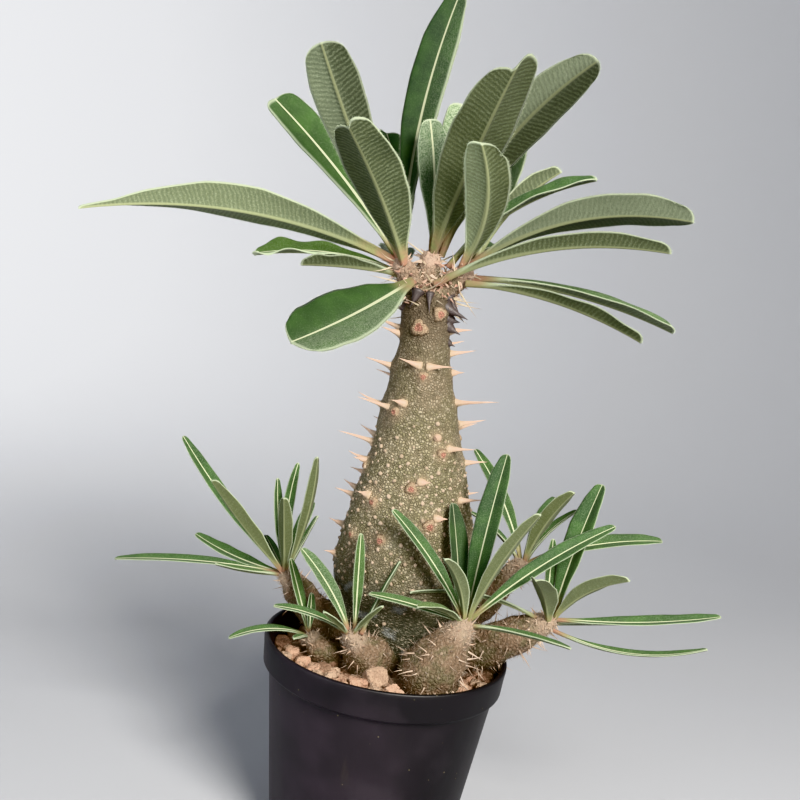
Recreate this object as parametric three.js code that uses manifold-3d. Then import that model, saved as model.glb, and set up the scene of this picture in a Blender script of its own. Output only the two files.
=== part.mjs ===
// Potted pachypodium cactipes: a swollen, tapering trunk with paired spines, a crown of folded leaves on
// three short arms, six side stems with leaf tufts, and the round nursery pot of grit they grow in.
// Lengths are millimetres and angles degrees. +Z is up and the pot stands on z = 0, centred on the origin.
// Headings: 0 points to +X, 90 to +Y (the back), 180 to -X and -90 to -Y (the front).

import * as THREE from "three";
import Module from "manifold-3d";

const wasm = await Module();
wasm.setup();

// Driving dimensions
const GAP = 0.3; // clearance between two pieces that touch in life
const POT_HEIGHT = 80;
const POT_RIM_RADIUS = 48;
const POT_FOOT_RADIUS = 36;
const POT_BAND_HEIGHT = 11; // the upright band below the rim
const POT_BAND_STEP = 1.6; // how far the wall steps in under the band
const POT_BAND_TAPER = 0.8; // how much narrower the band is at its foot
const POT_WALL = 1.4;
const POT_LIP = 1.8; // wall thickness at the rim
const POT_ROUNDING = 0.6; // rounding of the rim's edges
const POT_FOOT_ROUNDING = 2;
const POT_FLOOR = 1.6;
const POT_SEGMENTS = 36;
const DRAIN_HOLES = 6;
const DRAIN_HOLE_RADIUS = 3.2;
const DRAIN_CIRCLE_RADIUS = 24;
const GRIT_HEIGHT = 72; // mean level of the grit surface
const GRIT_SEGMENTS = 24;
const GRIT_RINGS = 5;
const GRIT_WAVE = 0.7; // how far the grit surface swells and sinks
const TRUNK_SEGMENTS = 24;
const STEM_SEGMENTS = 12;
const STEM_RINGS = 6;
const SPINE_RADIUS = 0.9;
const SPINE_LIFT = 12; // how far spines point above level
const LEAF_MID_THICKNESS = 1.5;
const LEAF_MARGIN_THICKNESS = 0.7;

// Colours
const POT_BLACK = new THREE.MeshStandardMaterial({ color: "#1f1c26", roughness: 0.42, metalness: 0 });
const GRIT_TAN = new THREE.MeshStandardMaterial({ color: "#b09078", roughness: 0.95, metalness: 0 });
const BARK = new THREE.MeshStandardMaterial({ color: "#8d866a", roughness: 0.85, metalness: 0 });
const STEM_BARK = new THREE.MeshStandardMaterial({ color: "#94805f", roughness: 0.9, metalness: 0 });
const LEAF_GREEN = new THREE.MeshStandardMaterial({ color: "#4d7443", roughness: 0.6, metalness: 0 });
const LEAF_OLIVE = new THREE.MeshStandardMaterial({ color: "#7d8a5c", roughness: 0.7, metalness: 0 });

// Basic geometry
const radians = (degrees) => (degrees * Math.PI) / 180;
const at = (x, y, z) => new THREE.Vector3(x, y, z);

// Unit vector along a heading, raised above level by rise.
function direction(around, rise) {
  const level = Math.cos(radians(rise));
  return at(level * Math.cos(radians(around)), level * Math.sin(radians(around)), Math.sin(radians(rise)));
}

// Straight-line interpolation in a list of [position, value] rows.
function interpolate(rows, position) {
  const next = rows.findIndex((row) => row[0] >= position);
  if (next <= 0) return rows[next < 0 ? rows.length - 1 : 0][1];
  const [from, to] = [rows[next - 1], rows[next]];
  return from[1] + ((to[1] - from[1]) * (position - from[0])) / (to[0] - from[0]);
}

function solidFrom(vertices, triangles) {
  return new wasm.Manifold(
    new wasm.Mesh({
      numProp: 3,
      vertProperties: new Float32Array(vertices.flatMap((v) => [v.x, v.y, v.z])),
      triVerts: new Uint32Array(triangles.flat()),
    }),
  );
}

// Solid skin through rings of equal length, closed by a fan of triangles at either end. Each ring runs
// counter-clockwise for someone looking back along the row of rings from its far end.
function skin(rings, startPoint, endPoint) {
  const count = rings[0].length;
  const vertices = [...rings.flat(), startPoint, endPoint];
  const [start, end] = [vertices.length - 2, vertices.length - 1];
  const triangles = [];
  for (let j = 0; j < count; j++) {
    const next = (j + 1) % count;
    triangles.push([start, next, j]);
    for (let i = 0; i < rings.length - 1; i++) {
      const here = i * count;
      const there = here + count;
      triangles.push([here + j, here + next, there + next], [here + j, there + next, there + j]);
    }
    const last = (rings.length - 1) * count;
    triangles.push([end, last + j, last + next]);
  }
  return solidFrom(vertices, triangles);
}

function solidOfGeometry(geometry) {
  const positions = geometry.getAttribute("position");
  const [vertices, triangles, seen] = [[], [], new Map()];
  const corners = geometry.index ? Array.from(geometry.index.array) : [...Array(positions.count).keys()];
  const merged = corners.map((corner) => {
    const point = at(positions.getX(corner), positions.getY(corner), positions.getZ(corner));
    const key = point.toArray().map((c) => Math.round(c * 1e4)).join();
    if (!seen.has(key)) seen.set(key, vertices.push(point) - 1);
    return seen.get(key);
  });
  for (let k = 0; k < merged.length; k += 3) {
    const [a, b, c] = merged.slice(k, k + 3);
    if (a !== b && b !== c && c !== a) triangles.push([a, b, c]);
  }
  return solidFrom(vertices, triangles);
}

function meshOf(name, solid, material) {
  const mesh = solid.getMesh();
  const geometry = new THREE.BufferGeometry();
  geometry.setAttribute("position", new THREE.BufferAttribute(new Float32Array(mesh.vertProperties), 3));
  geometry.setIndex(Array.from(mesh.triVerts));
  geometry.computeVertexNormals();
  const result = new THREE.Mesh(geometry, material);
  result.name = name;
  return result;
}

// Round limb through a row of { at, radius } knots, with domed ends. Grown widens it all over.
function limb(knots, segments, ringCount, grown = 0) {
  const path = new THREE.CatmullRomCurve3(knots.map((knot) => knot.at));
  const radii = knots.map((knot, i) => [i / (knots.length - 1), knot.radius]);
  const stations = [];
  for (let i = 0; i < ringCount; i++) {
    const t = i / (ringCount - 1);
    const radius = interpolate(radii, t) + grown;
    stations.push({ centre: path.getPoint(t), along: path.getTangent(t), radius });
  }
  const dome = ({ centre, along, radius }, way) =>
    [0.45, 0.8].map((share) => ({
      centre: centre.clone().addScaledVector(along, way * radius * share),
      along,
      radius: radius * Math.sqrt(1 - share * share),
    }));
  const [first, last] = [stations[0], stations[stations.length - 1]];
  const all = [...dome(first, -1).reverse(), ...stations, ...dome(last, 1)];
  const rings = all.map(({ centre, along, radius }) => {
    const across = at(0, 1, 0).cross(along).normalize();
    const over = along.clone().cross(across);
    return Array.from({ length: segments }, (_, j) => {
      const turn = (2 * Math.PI * j) / segments;
      return centre
        .clone()
        .addScaledVector(across, radius * Math.cos(turn))
        .addScaledVector(over, radius * Math.sin(turn));
    });
  });
  return skin(
    rings,
    first.centre.clone().addScaledVector(first.along, -first.radius),
    last.centre.clone().addScaledVector(last.along, last.radius),
  );
}

// Pot
const WALL_SLOPE = (POT_RIM_RADIUS - POT_BAND_STEP - POT_FOOT_RADIUS) / POT_HEIGHT;
const outerWall = (z) => POT_FOOT_RADIUS + WALL_SLOPE * z;
const innerWall = (z) => outerWall(z) - POT_WALL;

function pot() {
  const bandFoot = POT_HEIGHT - POT_BAND_HEIGHT;
  const ledge = bandFoot - POT_BAND_STEP;
  const outline = [
    [0, 0],
    [POT_FOOT_RADIUS - POT_FOOT_ROUNDING, 0],
    [POT_FOOT_RADIUS, POT_FOOT_ROUNDING],
    [outerWall(ledge), ledge],
    [POT_RIM_RADIUS - POT_BAND_TAPER, bandFoot],
    [POT_RIM_RADIUS, POT_HEIGHT - POT_FOOT_ROUNDING],
    [POT_RIM_RADIUS, POT_HEIGHT - POT_ROUNDING],
    [POT_RIM_RADIUS - POT_ROUNDING, POT_HEIGHT],
    [POT_RIM_RADIUS - POT_LIP + POT_ROUNDING, POT_HEIGHT],
    [POT_RIM_RADIUS - POT_LIP, POT_HEIGHT - POT_ROUNDING],
    [innerWall(bandFoot), bandFoot],
    [innerWall(POT_FLOOR), POT_FLOOR],
    [0, POT_FLOOR],
  ].map(([radius, z]) => new THREE.Vector2(radius, z));
  let body = solidOfGeometry(new THREE.LatheGeometry(outline, POT_SEGMENTS).rotateX(Math.PI / 2));
  for (let i = 0; i < DRAIN_HOLES; i++) {
    const middle = direction((360 * (i + 0.5)) / DRAIN_HOLES, 0).multiplyScalar(DRAIN_CIRCLE_RADIUS);
    const drill = new THREE.CylinderGeometry(DRAIN_HOLE_RADIUS, DRAIN_HOLE_RADIUS, 3 * POT_FLOOR, 10);
    drill.rotateX(Math.PI / 2).translate(middle.x, middle.y, POT_FLOOR / 2);
    body = body.subtract(solidOfGeometry(drill));
  }
  return body;
}

// Trunk: [height, x, y, radius] from the buried root end up to the neck
const TRUNK_STATIONS = [
  [48, 8, 14, 7],
  [58, 8, 14, 15],
  [66, 8, 14, 20],
  [73, 7.5, 14, 24],
  [82, 7, 14, 27.5],
  [92, 6, 14, 29],
  [102, 4, 13.5, 29],
  [112, 3, 13, 28],
  [122, 2, 12.5, 26.5],
  [134, 1, 12, 23.5],
  [148, 0.5, 11, 20],
  [160, 0, 10, 17],
  [172, -1, 9.5, 14.8],
  [184, -2, 9, 12.4],
  [194, -3, 8.5, 10],
  [202, -3.5, 8, 9.4],
  [210, -4, 8, 10],
  [216, -5, 8, 9.4],
];
const LUMP = 0.018; // share of the radius by which the trunk is out of round

// The three short arms that the crown leaves grow on
const CROWN_ARMS = {
  left: [at(-5, 8, 212), at(-12, 8, 222), at(-17, 8, 228)],
  middle: [at(-5, 8, 214), at(-6, 9, 224), at(-6, 9, 231)],
  right: [at(-4, 8, 212), at(2, 8, 222), at(7, 8, 228)],
};
const ARM_RADII = [7.5, 6, 4.6];

function trunkCore(grown = 0) {
  const rings = TRUNK_STATIONS.map(([z, x, y, radius]) =>
    Array.from({ length: TRUNK_SEGMENTS }, (_, j) => {
      const turn = (2 * Math.PI * j) / TRUNK_SEGMENTS;
      const uneven = 1 + LUMP * Math.sin(3 * turn + z / 18) + LUMP * Math.cos(5 * turn - z / 11);
      const reach = radius * uneven + grown;
      return at(x + reach * Math.cos(turn), y + reach * Math.sin(turn), z);
    }),
  );
  const [first, last] = [TRUNK_STATIONS[0], TRUNK_STATIONS[TRUNK_STATIONS.length - 1]];
  let body = skin(rings, at(first[1], first[2], first[0] - 4 - grown), at(last[1], last[2], last[0] + 5));
  for (const points of Object.values(CROWN_ARMS)) {
    const knots = points.map((point, i) => ({ at: point, radius: ARM_RADII[i] }));
    body = body.add(limb(knots, STEM_SEGMENTS, 3, grown));
  }
  return body;
}

// Where spines stand on the trunk: [heading, height, length]
const SPINES = [
  [178, 203, 10],
  [-170, 201, 7],
  [172, 187, 12],
  [-176, 188, 10],
  [176, 172, 11],
  [-150, 173, 13],
  [-178, 157, 14],
  [165, 159, 9],
  [178, 149, 7],
  [-165, 150, 6],
  [180, 134, 7],
  [168, 136, 6],
  [178, 121, 5],
  [-172, 110, 5],
  [-10, 205, 7],
  [2, 196, 10],
  [-12, 189, 5],
  [0, 177, 17],
  [-16, 178, 12],
  [4, 169, 11],
  [-38, 161, 9],
  [0, 154, 9],
  [-28, 141, 9],
  [-104, 188, 8],
  [-72, 187, 8],
  [-118, 173, 6],
  [-62, 160, 6],
  [-96, 142, 6],
  [-140, 136, 6],
  [-84, 128, 5],
  [48, 198, 10],
  [104, 193, 11],
  [136, 182, 11],
  [64, 180, 12],
  [26, 166, 10],
  [92, 168, 12],
  [132, 162, 10],
  [58, 152, 9],
  [112, 146, 9],
  [150, 141, 7],
  [30, 138, 8],
  [78, 132, 7],
  [124, 126, 6],
  [52, 122, 6],
];

function trunkMiddle(z) {
  const rows = (column) => TRUNK_STATIONS.map((station) => [station[0], station[column]]);
  return { axis: at(interpolate(rows(1), z), interpolate(rows(2), z), z), radius: interpolate(rows(3), z) };
}

function spine([around, z, length]) {
  const { axis, radius } = trunkMiddle(z);
  const along = direction(around, SPINE_LIFT);
  const across = direction(around + 90, 0);
  const over = along.clone().cross(across);
  const foot = axis.clone().addScaledVector(direction(around, 0), radius - 1.5);
  const ring = [0, 1, 2, 3].map((corner) =>
    foot
      .clone()
      .addScaledVector(across, SPINE_RADIUS * Math.cos((corner * Math.PI) / 2))
      .addScaledVector(over, SPINE_RADIUS * Math.sin((corner * Math.PI) / 2)),
  );
  return skin([ring], foot, foot.clone().addScaledVector(along, length + 1.5));
}

// Side stems: knots from inside the trunk out to the leaf tuft
const STEMS = {
  left: [
    { at: at(-14, 12, 78), radius: 7 },
    { at: at(-27, 5, 84), radius: 6.6 },
    { at: at(-37, 4, 93), radius: 6 },
    { at: at(-42, 4, 98), radius: 4.2 },
  ],
  low_left: [
    { at: at(-12, 0, 70), radius: 4.5 },
    { at: at(-24, -10, 76), radius: 4.8 },
    { at: at(-29, -10, 80), radius: 3.2 },
  ],
  front_left: [
    { at: at(2, -4, 73), radius: 7 },
    { at: at(-7, -13, 79), radius: 9.6 },
    { at: at(-13, -17, 86), radius: 4 },
  ],
  front: [
    { at: at(17, -8, 72), radius: 8 },
    { at: at(18, -21, 79), radius: 12 },
    { at: at(22, -22, 88), radius: 9.5 },
    { at: at(27, -20, 98), radius: 4.4 },
  ],
  back_right: [
    { at: at(26, 21, 84), radius: 7 },
    { at: at(37, 18, 97), radius: 6.2 },
    { at: at(48, 15, 114), radius: 4.2 },
  ],
  right: [
    { at: at(24, 4, 79), radius: 8.5 },
    { at: at(37, 0, 84), radius: 8.4 },
    { at: at(50, -1, 92), radius: 7.4 },
    { at: at(60, -2, 99), radius: 4.4 },
  ],
};
const stem = (name, grown = 0) => limb(STEMS[name], STEM_SEGMENTS, STEM_RINGS, grown);

// Leaves: share of the full width at shares of the length
const BROAD = [
  [0, 0.13],
  [0.12, 0.18],
  [0.3, 0.5],
  [0.48, 0.86],
  [0.66, 1],
  [0.82, 0.92],
  [0.94, 0.62],
  [1, 0.2],
];
const BLUNT = [
  [0, 0.13],
  [0.12, 0.18],
  [0.3, 0.44],
  [0.5, 0.78],
  [0.7, 0.98],
  [0.85, 1],
  [0.95, 0.8],
  [1, 0.42],
];
const TAPERING = [
  [0, 0.15],
  [0.12, 0.26],
  [0.3, 0.74],
  [0.45, 1],
  [0.6, 0.98],
  [0.78, 0.68],
  [0.92, 0.3],
  [1, 0.08],
];
const STRAP = [
  [0, 0.16],
  [0.16, 0.42],
  [0.4, 0.92],
  [0.66, 1],
  [0.88, 0.74],
  [1, 0.14],
];

// Leaf folded along its midrib like a gutter. Reach is the straight length from the centre of its arm,
// arch how far it bows upwards, sway how far it bows to its left, roll how far its left margin is raised
// and fold how steeply either half rises from the midrib.
function leaf(shape) {
  const { from, blade, around, rise, reach, width } = shape;
  const { arch = 0, sway = 0, roll = 0, fold = 30, root = 1.5 } = shape;
  const heading = direction(around, rise);
  const left = direction(around + 90, 0);
  const up = heading.clone().cross(left);
  const base = from.clone().addScaledVector(heading, root);
  const tip = from.clone().addScaledVector(heading, reach);
  const bow = base.clone().add(tip).multiplyScalar(0.5);
  bow.addScaledVector(up, 2 * arch).addScaledVector(left, 2 * sway);
  const midline = new THREE.QuadraticBezierCurve3(base, bow, tip);
  const rings = blade.map(([t, share]) => {
    const along = midline.getTangent(t);
    const side = left.clone().addScaledVector(along, -left.dot(along)).normalize();
    side.applyAxisAngle(along, radians(roll));
    const over = along.clone().cross(side);
    const crease = midline.getPoint(t);
    const half = (width * share) / 2;
    const lift = fold * Math.min(1, 0.3 + 2.5 * t);
    const point = (across, height) =>
      crease.clone().addScaledVector(side, across).addScaledVector(over, height);
    const [out, high] = [half * Math.cos(radians(lift)), half * Math.sin(radians(lift))];
    const [thick, thin] = [LEAF_MID_THICKNESS * (1.15 - 0.5 * t), LEAF_MARGIN_THICKNESS];
    return [
      point(out, high - thin),
      point(out, high),
      point(0, 0),
      point(-out, high),
      point(-out, high - thin),
      point(0, -thick),
    ];
  });
  const middle = (ring) => ring[2].clone().add(ring[5]).multiplyScalar(0.5);
  return skin(rings, middle(rings[0]), middle(rings[rings.length - 1]));
}

// Crown leaves, each from its arm or a point beside it
const ARM = {
  left: at(-17, 8, 228),
  leftBack: at(-15, 12, 227),
  leftRear: at(-19, 12, 228),
  leftUnder: at(-14, 12, 223),
  leftFoot: at(-15, 9, 224),
  leftFore: at(-15, 6, 227),
  middle: at(-6, 9, 232),
  middleBack: at(-4, 12, 230),
  middleRight: at(-3, 9, 231),
  right: at(6, 8, 229),
  rightBack: at(7, 12, 228),
  rightFront: at(9, 11, 229),
  rightLow: at(-1, 9, 228),
  rightTip: at(9, 9, 227),
  rightFoot: at(7, 4, 225),
  frontFoot: at(-5, 2, 222),
  neckLeft: at(-10, 2, 223),
};
const CROWN_LEAVES = [
  { from: ARM.left, around: -174, rise: 1, reach: 122, width: 18, arch: 9, roll: 38, fold: 36, blade: TAPERING },
  { from: ARM.left, around: -148, rise: 58, reach: 85, width: 19, arch: -1, roll: 55, fold: 16, blade: BLUNT },
  { from: ARM.left, around: 150, rise: 38, reach: 91, width: 17, arch: 2, roll: -38, fold: 26, blade: BLUNT },
  { from: ARM.leftFore, around: -117, rise: 40, reach: 66, width: 22, arch: 2, roll: 12, fold: 18, blade: BLUNT },
  { from: ARM.left, around: 77, rise: 75, reach: 110, width: 15, sway: 3, fold: 28 },
  { from: ARM.leftBack, around: 117, rise: 53, reach: 63, width: 14, arch: 4, fold: 30, blade: BLUNT },
  { from: ARM.middle, around: 160, rise: 80, reach: 51, width: 14, arch: 2, sway: 1, roll: -60, fold: 22 },
  { from: ARM.middle, around: -63, rise: 58, reach: 75, width: 23, arch: 2, fold: 20 },
  { from: ARM.middleRight, around: -27, rise: 57, reach: 92, width: 17, arch: 8, roll: -15, fold: 32 },
  { from: ARM.middleBack, around: 88, rise: 76, reach: 63, width: 13, arch: 2, fold: 25, blade: BLUNT },
  { from: ARM.right, around: -92, rise: 50, reach: 58, width: 17, sway: 6, fold: 32 },
  { from: ARM.rightBack, around: 59, rise: 68, reach: 60, width: 14, sway: -4, fold: 28, blade: BLUNT },
  { from: ARM.rightFront, around: 9, rise: 55, reach: 51, width: 13, arch: 4, roll: -40, fold: 28 },
  { from: ARM.rightLow, around: -13, rise: 38, reach: 66, width: 11, arch: 6, roll: 25, fold: 28 },
  { from: ARM.right, around: -10, rise: 20, reach: 87, width: 17, arch: 9, roll: -35, fold: 34 },
  { from: ARM.frontFoot, around: -10, rise: 16, reach: 89, width: 13, arch: 7, roll: -25, fold: 34 },
  { from: ARM.rightTip, around: 4, rise: -7, reach: 83, width: 13, arch: 4, roll: 12, fold: 30 },
  { from: ARM.rightFoot, around: -7, rise: -10, reach: 71, width: 12, arch: 4, roll: -10, fold: 34 },
  { from: ARM.neckLeft, around: -135, rise: -26, reach: 63, width: 20, arch: 2, roll: -25, fold: 18 },
  { from: ARM.leftFoot, around: 168, rise: -2, reach: 62, width: 12, arch: 4, roll: -25, fold: 28 },
  { from: ARM.leftFoot, around: -166, rise: -3, reach: 40, width: 11, arch: 1, roll: 25, fold: 30 },
  { from: ARM.leftRear, around: 96, rise: 42, reach: 46, width: 11, arch: 3, fold: 30 },
  { from: ARM.middleBack, around: 84, rise: 22, reach: 74, width: 17, arch: 6, fold: 30 },
  { from: ARM.leftUnder, around: 100, rise: 4, reach: 64, width: 16, arch: 4, fold: 30 },
  { from: ARM.rightBack, around: 72, rise: 9, reach: 56, width: 15, arch: 5, fold: 30 },
];

// Leaf tufts of the side stems
const TUFT = {
  left: at(-44, 4, 100),
  low_left: at(-30, -10, 82),
  front_left: at(-14, -18, 88),
  front: at(28, -20, 100),
  back_right: at(49, 15, 116),
  right: at(62, -2, 101),
};
const LEFT_LEAVES = [
  { around: 164, rise: 41, reach: 69, width: 7, arch: -2, roll: -35 },
  { around: -159, rise: 47, reach: 49, width: 10, arch: -1, roll: 35 },
  { around: 166, rise: 10, reach: 41, width: 7, arch: -2, roll: -25 },
  { around: 178, rise: -5, reach: 69, width: 6, arch: 2, roll: -20 },
  { around: -161, rise: 5, reach: 28, width: 4, arch: -1 },
  { around: -101, rise: 67, reach: 37, width: 7 },
  { around: 128, rise: 66, reach: 38, width: 5, arch: -2 },
  { around: 100, rise: 76, reach: 44, width: 5, sway: 2 },
  { around: -46, rise: 79, reach: 51, width: 6, sway: 3 },
  { around: 30, rise: 66, reach: 26, width: 4 },
  { around: 120, rise: 17, reach: 26, width: 5 },
  { around: 80, rise: 40, reach: 36, width: 6, arch: 3 },
];
const LOW_LEFT_LEAVES = [
  { around: -161, rise: -5, reach: 31, width: 5, arch: 3, roll: -15 },
  { around: -113, rise: 8, reach: 12, width: 4 },
  { around: 146, rise: 61, reach: 30, width: 5, roll: -20 },
  { around: 120, rise: 79, reach: 16, width: 4 },
];
const FRONT_LEFT_LEAVES = [
  { around: 162, rise: 48, reach: 37, width: 7, arch: 2, roll: -35 },
  { from: at(-12.5, -18, 88), around: 114, rise: 77, reach: 38, width: 5 },
  { from: at(-11, -19, 88), around: 5, rise: 70, reach: 33, width: 4 },
  { around: -44, rise: 48, reach: 22, width: 4 },
  { around: -136, rise: 36, reach: 18, width: 5 },
  { around: -172, rise: 14, reach: 31, width: 5, arch: 2, roll: -20 },
  { from: at(-15, -17, 86), around: 122, rise: 32, reach: 30, width: 4, arch: 3 },
];
const FRONT_LEAVES = [
  { around: 67, rise: 76, reach: 65, width: 11, arch: 2 },
  { from: at(26, -18.5, 99), around: 128, rise: 70, reach: 45, width: 10, arch: 1 },
  { around: 180, rise: 49, reach: 51, width: 7, arch: 2, roll: -40 },
  { around: -128, rise: 55, reach: 34, width: 7, arch: 3, roll: 15 },
  { around: -40, rise: 64, reach: 55, width: 8, arch: 2, roll: -20 },
  { around: 21, rise: 36, reach: 69, width: 8, arch: 3, roll: 30 },
  { around: -143, rise: 19, reach: 25, width: 7, arch: 2 },
  { around: -174, rise: 10, reach: 38, width: 5, arch: 1, roll: -30 },
  { around: -16, rise: 1, reach: 40, width: 5, arch: 1 },
];
const BACK_RIGHT_LEAVES = [
  { around: -33, rise: 64, reach: 38, width: 9, arch: 2, roll: -30 },
  { around: 20, rise: 49, reach: 31, width: 6, arch: 2 },
  { around: 11, rise: 15, reach: 59, width: 8, arch: 3, roll: 30 },
  { around: 140, rise: 50, reach: 51, width: 7, arch: 3, roll: -30 },
  { around: 159, rise: 31, reach: 30, width: 5, arch: 2 },
  { around: 70, rise: 28, reach: 44, width: 7, arch: 3 },
];
const RIGHT_LEAVES = [
  { around: 51, rise: 69, reach: 56, width: 12, arch: 2 },
  { around: -32, rise: 41, reach: 37, width: 10, arch: 3, roll: -35 },
  { from: at(61, -4, 100), around: -116, rise: 43, reach: 33, width: 11, arch: 2 },
  { around: 0, rise: 10, reach: 65, width: 7, arch: -2, roll: 20 },
  { from: at(61, -4, 98), around: -8, rise: 4, reach: 60, width: 5, arch: -6, roll: 10 },
  { from: at(61, 1, 98), around: 20, rise: 1, reach: 35, width: 6 },
  { from: at(60, 0, 100), around: 101, rise: 75, reach: 31, width: 5 },
  { from: at(60, -3, 100), around: -164, rise: 8, reach: 57, width: 4, arch: 4, sway: -1.5, roll: 20 },
];

// Tuft leaf i of the stem called name
const tuftLeaf = (name, shape) => leaf({ from: TUFT[name], blade: STRAP, fold: 28, root: 1, ...shape });

// Stem and leaves grown together as one piece, for the three tufts that stand at the side or behind
function joinedShoot(name, leaves) {
  return leaves.reduce((body, shape) => body.add(tuftLeaf(name, shape)), stem(name));
}

// Grit: a filling of the pot with a gently uneven surface
function grit() {
  const bottom = POT_FLOOR + GAP;
  const wave = (radius, turn) => Math.sin(radius / 6 + 2 * turn) * Math.cos(3 * turn);
  const level = (radius, turn) => GRIT_HEIGHT + GRIT_WAVE * wave(radius, turn);
  const circle = (radius, height) =>
    Array.from({ length: GRIT_SEGMENTS }, (_, j) => {
      const turn = (2 * Math.PI * j) / GRIT_SEGMENTS;
      return at(radius * Math.cos(turn), radius * Math.sin(turn), height(radius, turn));
    });
  const flatBottom = () => bottom;
  const rings = [circle(innerWall(bottom) - GAP, flatBottom)];
  const top = (innerWall(GRIT_HEIGHT) - GAP) * Math.cos(Math.PI / POT_SEGMENTS);
  for (let i = GRIT_RINGS; i > 0; i--) {
    rings.push(circle((top * i) / GRIT_RINGS, level));
  }
  return skin(rings, at(0, 0, bottom), at(0, 0, GRIT_HEIGHT));
}

// The whole plant in its pot
function assemble() {
  const group = new THREE.Group();
  group.name = "potted_pachypodium";
  const place = (name, solid, material) => group.add(meshOf(name, solid, material));

  const trunkClear = trunkCore(GAP);
  let trunk = trunkCore();
  for (const row of SPINES) trunk = trunk.add(spine(row));

  place("pot", pot(), POT_BLACK);
  let filling = grit().subtract(trunkClear);
  for (const name of Object.keys(STEMS)) filling = filling.subtract(stem(name, GAP));
  place("potting_grit", filling, GRIT_TAN);
  place("trunk", trunk, BARK);

  CROWN_LEAVES.forEach((shape, i) => {
    const name = `crown_leaf_${String(i + 1).padStart(2, "0")}`;
    place(name, leaf({ blade: BROAD, ...shape }).subtract(trunkClear), LEAF_GREEN);
  });

  place("left_shoot", joinedShoot("left", LEFT_LEAVES).subtract(trunkClear), LEAF_OLIVE);
  place("low_left_shoot", joinedShoot("low_left", LOW_LEFT_LEAVES).subtract(trunkClear), LEAF_OLIVE);
  place("back_right_shoot", joinedShoot("back_right", BACK_RIGHT_LEAVES).subtract(trunkClear), LEAF_OLIVE);

  const tufts = { front_left: FRONT_LEFT_LEAVES, front: FRONT_LEAVES, right: RIGHT_LEAVES };
  for (const [name, leaves] of Object.entries(tufts)) {
    place(`${name}_stem`, stem(name).subtract(trunkClear), STEM_BARK);
    leaves.forEach((shape, i) => {
      place(`${name}_leaf_${i + 1}`, tuftLeaf(name, shape).subtract(stem(name, GAP)), LEAF_GREEN);
    });
  }
  return group;
}

export default assemble();
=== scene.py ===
"""Looks of a potted pachypodium cactipes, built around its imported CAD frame.

Lengths in the classes are millimetres and angles degrees; the finished meshes are metres. +Z is up, the pot
stands on z = 0 and +X is to the right in the picture. Headings: 0 points to +X, 90 to +Y (the back), 180 to
-X and -90 to -Y (the front).
"""

import logging
import math
from collections.abc import Iterable, Sequence
from dataclasses import dataclass, field, fields, replace
from enum import Enum
from typing import Any, ClassVar

import bmesh
import bpy
import numpy as np
from mathutils import Matrix, Vector, noise


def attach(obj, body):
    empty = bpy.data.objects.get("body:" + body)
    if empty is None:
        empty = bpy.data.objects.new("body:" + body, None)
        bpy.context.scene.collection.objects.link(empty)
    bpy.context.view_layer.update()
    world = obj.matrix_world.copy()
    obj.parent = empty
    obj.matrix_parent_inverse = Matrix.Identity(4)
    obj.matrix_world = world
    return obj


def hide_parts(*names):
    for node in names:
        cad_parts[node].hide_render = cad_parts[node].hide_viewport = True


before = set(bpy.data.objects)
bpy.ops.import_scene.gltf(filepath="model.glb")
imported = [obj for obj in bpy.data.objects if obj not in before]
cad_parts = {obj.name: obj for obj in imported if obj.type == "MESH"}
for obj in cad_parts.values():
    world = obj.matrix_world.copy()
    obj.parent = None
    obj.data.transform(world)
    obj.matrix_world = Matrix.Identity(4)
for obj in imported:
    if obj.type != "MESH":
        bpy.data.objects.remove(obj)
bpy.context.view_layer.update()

LOG = logging.getLogger("pachypodium")
MM = 0.001
BODY = "root"
Point = tuple[float, float, float]
Colour = tuple[float, float, float]
Table = Sequence[tuple[float, float]]


# Measuring and smoothing


def direction(around: float, rise: float = 0.0) -> np.ndarray:
    """Unit vector along a heading.

    Args:
        around: the heading in degrees.
        rise: how far it points above level, in degrees.

    Returns:
        The vector as three numbers.
    """
    turn, lift = math.radians(around), math.radians(rise)
    level = math.cos(lift)
    return np.array([level * math.cos(turn), level * math.sin(turn), math.sin(lift)])


def once_round(count: int) -> np.ndarray:
    """Evenly spaced angles in radians, once round."""
    return np.linspace(0, 2 * math.pi, count, endpoint=False)


def circle(turns: np.ndarray, side: np.ndarray, over: np.ndarray) -> np.ndarray:
    """Points at those angles on a circle of radius one, spanned by two unit vectors."""
    return np.outer(np.cos(turns), side) + np.outer(np.sin(turns), over)


def unit(vectors: np.ndarray) -> np.ndarray:
    """The same vectors at length one."""
    return vectors / np.maximum(np.linalg.norm(vectors, axis=-1, keepdims=True), 1e-9)


def eased(table: Table, positions: np.ndarray, softness: float = 0.03) -> np.ndarray:
    """Reads a table of positions and values with its corners rounded.

    Args:
        table: rows of position and value, in rising order.
        positions: where to read it.
        softness: how far a corner is rounded, as a share of the table's length.

    Returns:
        One value for each position.
    """
    places, values = np.array(table, float).T
    fine = np.linspace(places[0], places[-1], 401)
    reach = max(1, int(softness * 400))
    kernel = np.hanning(2 * reach + 3)[1:-1]
    straight = np.pad(np.interp(fine, places, values), reach, mode="reflect", reflect_type="odd")
    return np.interp(positions, fine, np.convolve(straight, kernel / kernel.sum(), mode="valid"))


def smooth_step(low: float, high: float, values: np.ndarray) -> np.ndarray:
    """Rises smoothly from 0 at low to 1 at high."""
    share = np.clip((values - low) / (high - low), 0.0, 1.0)
    return share * share * (3 - 2 * share)


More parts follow.
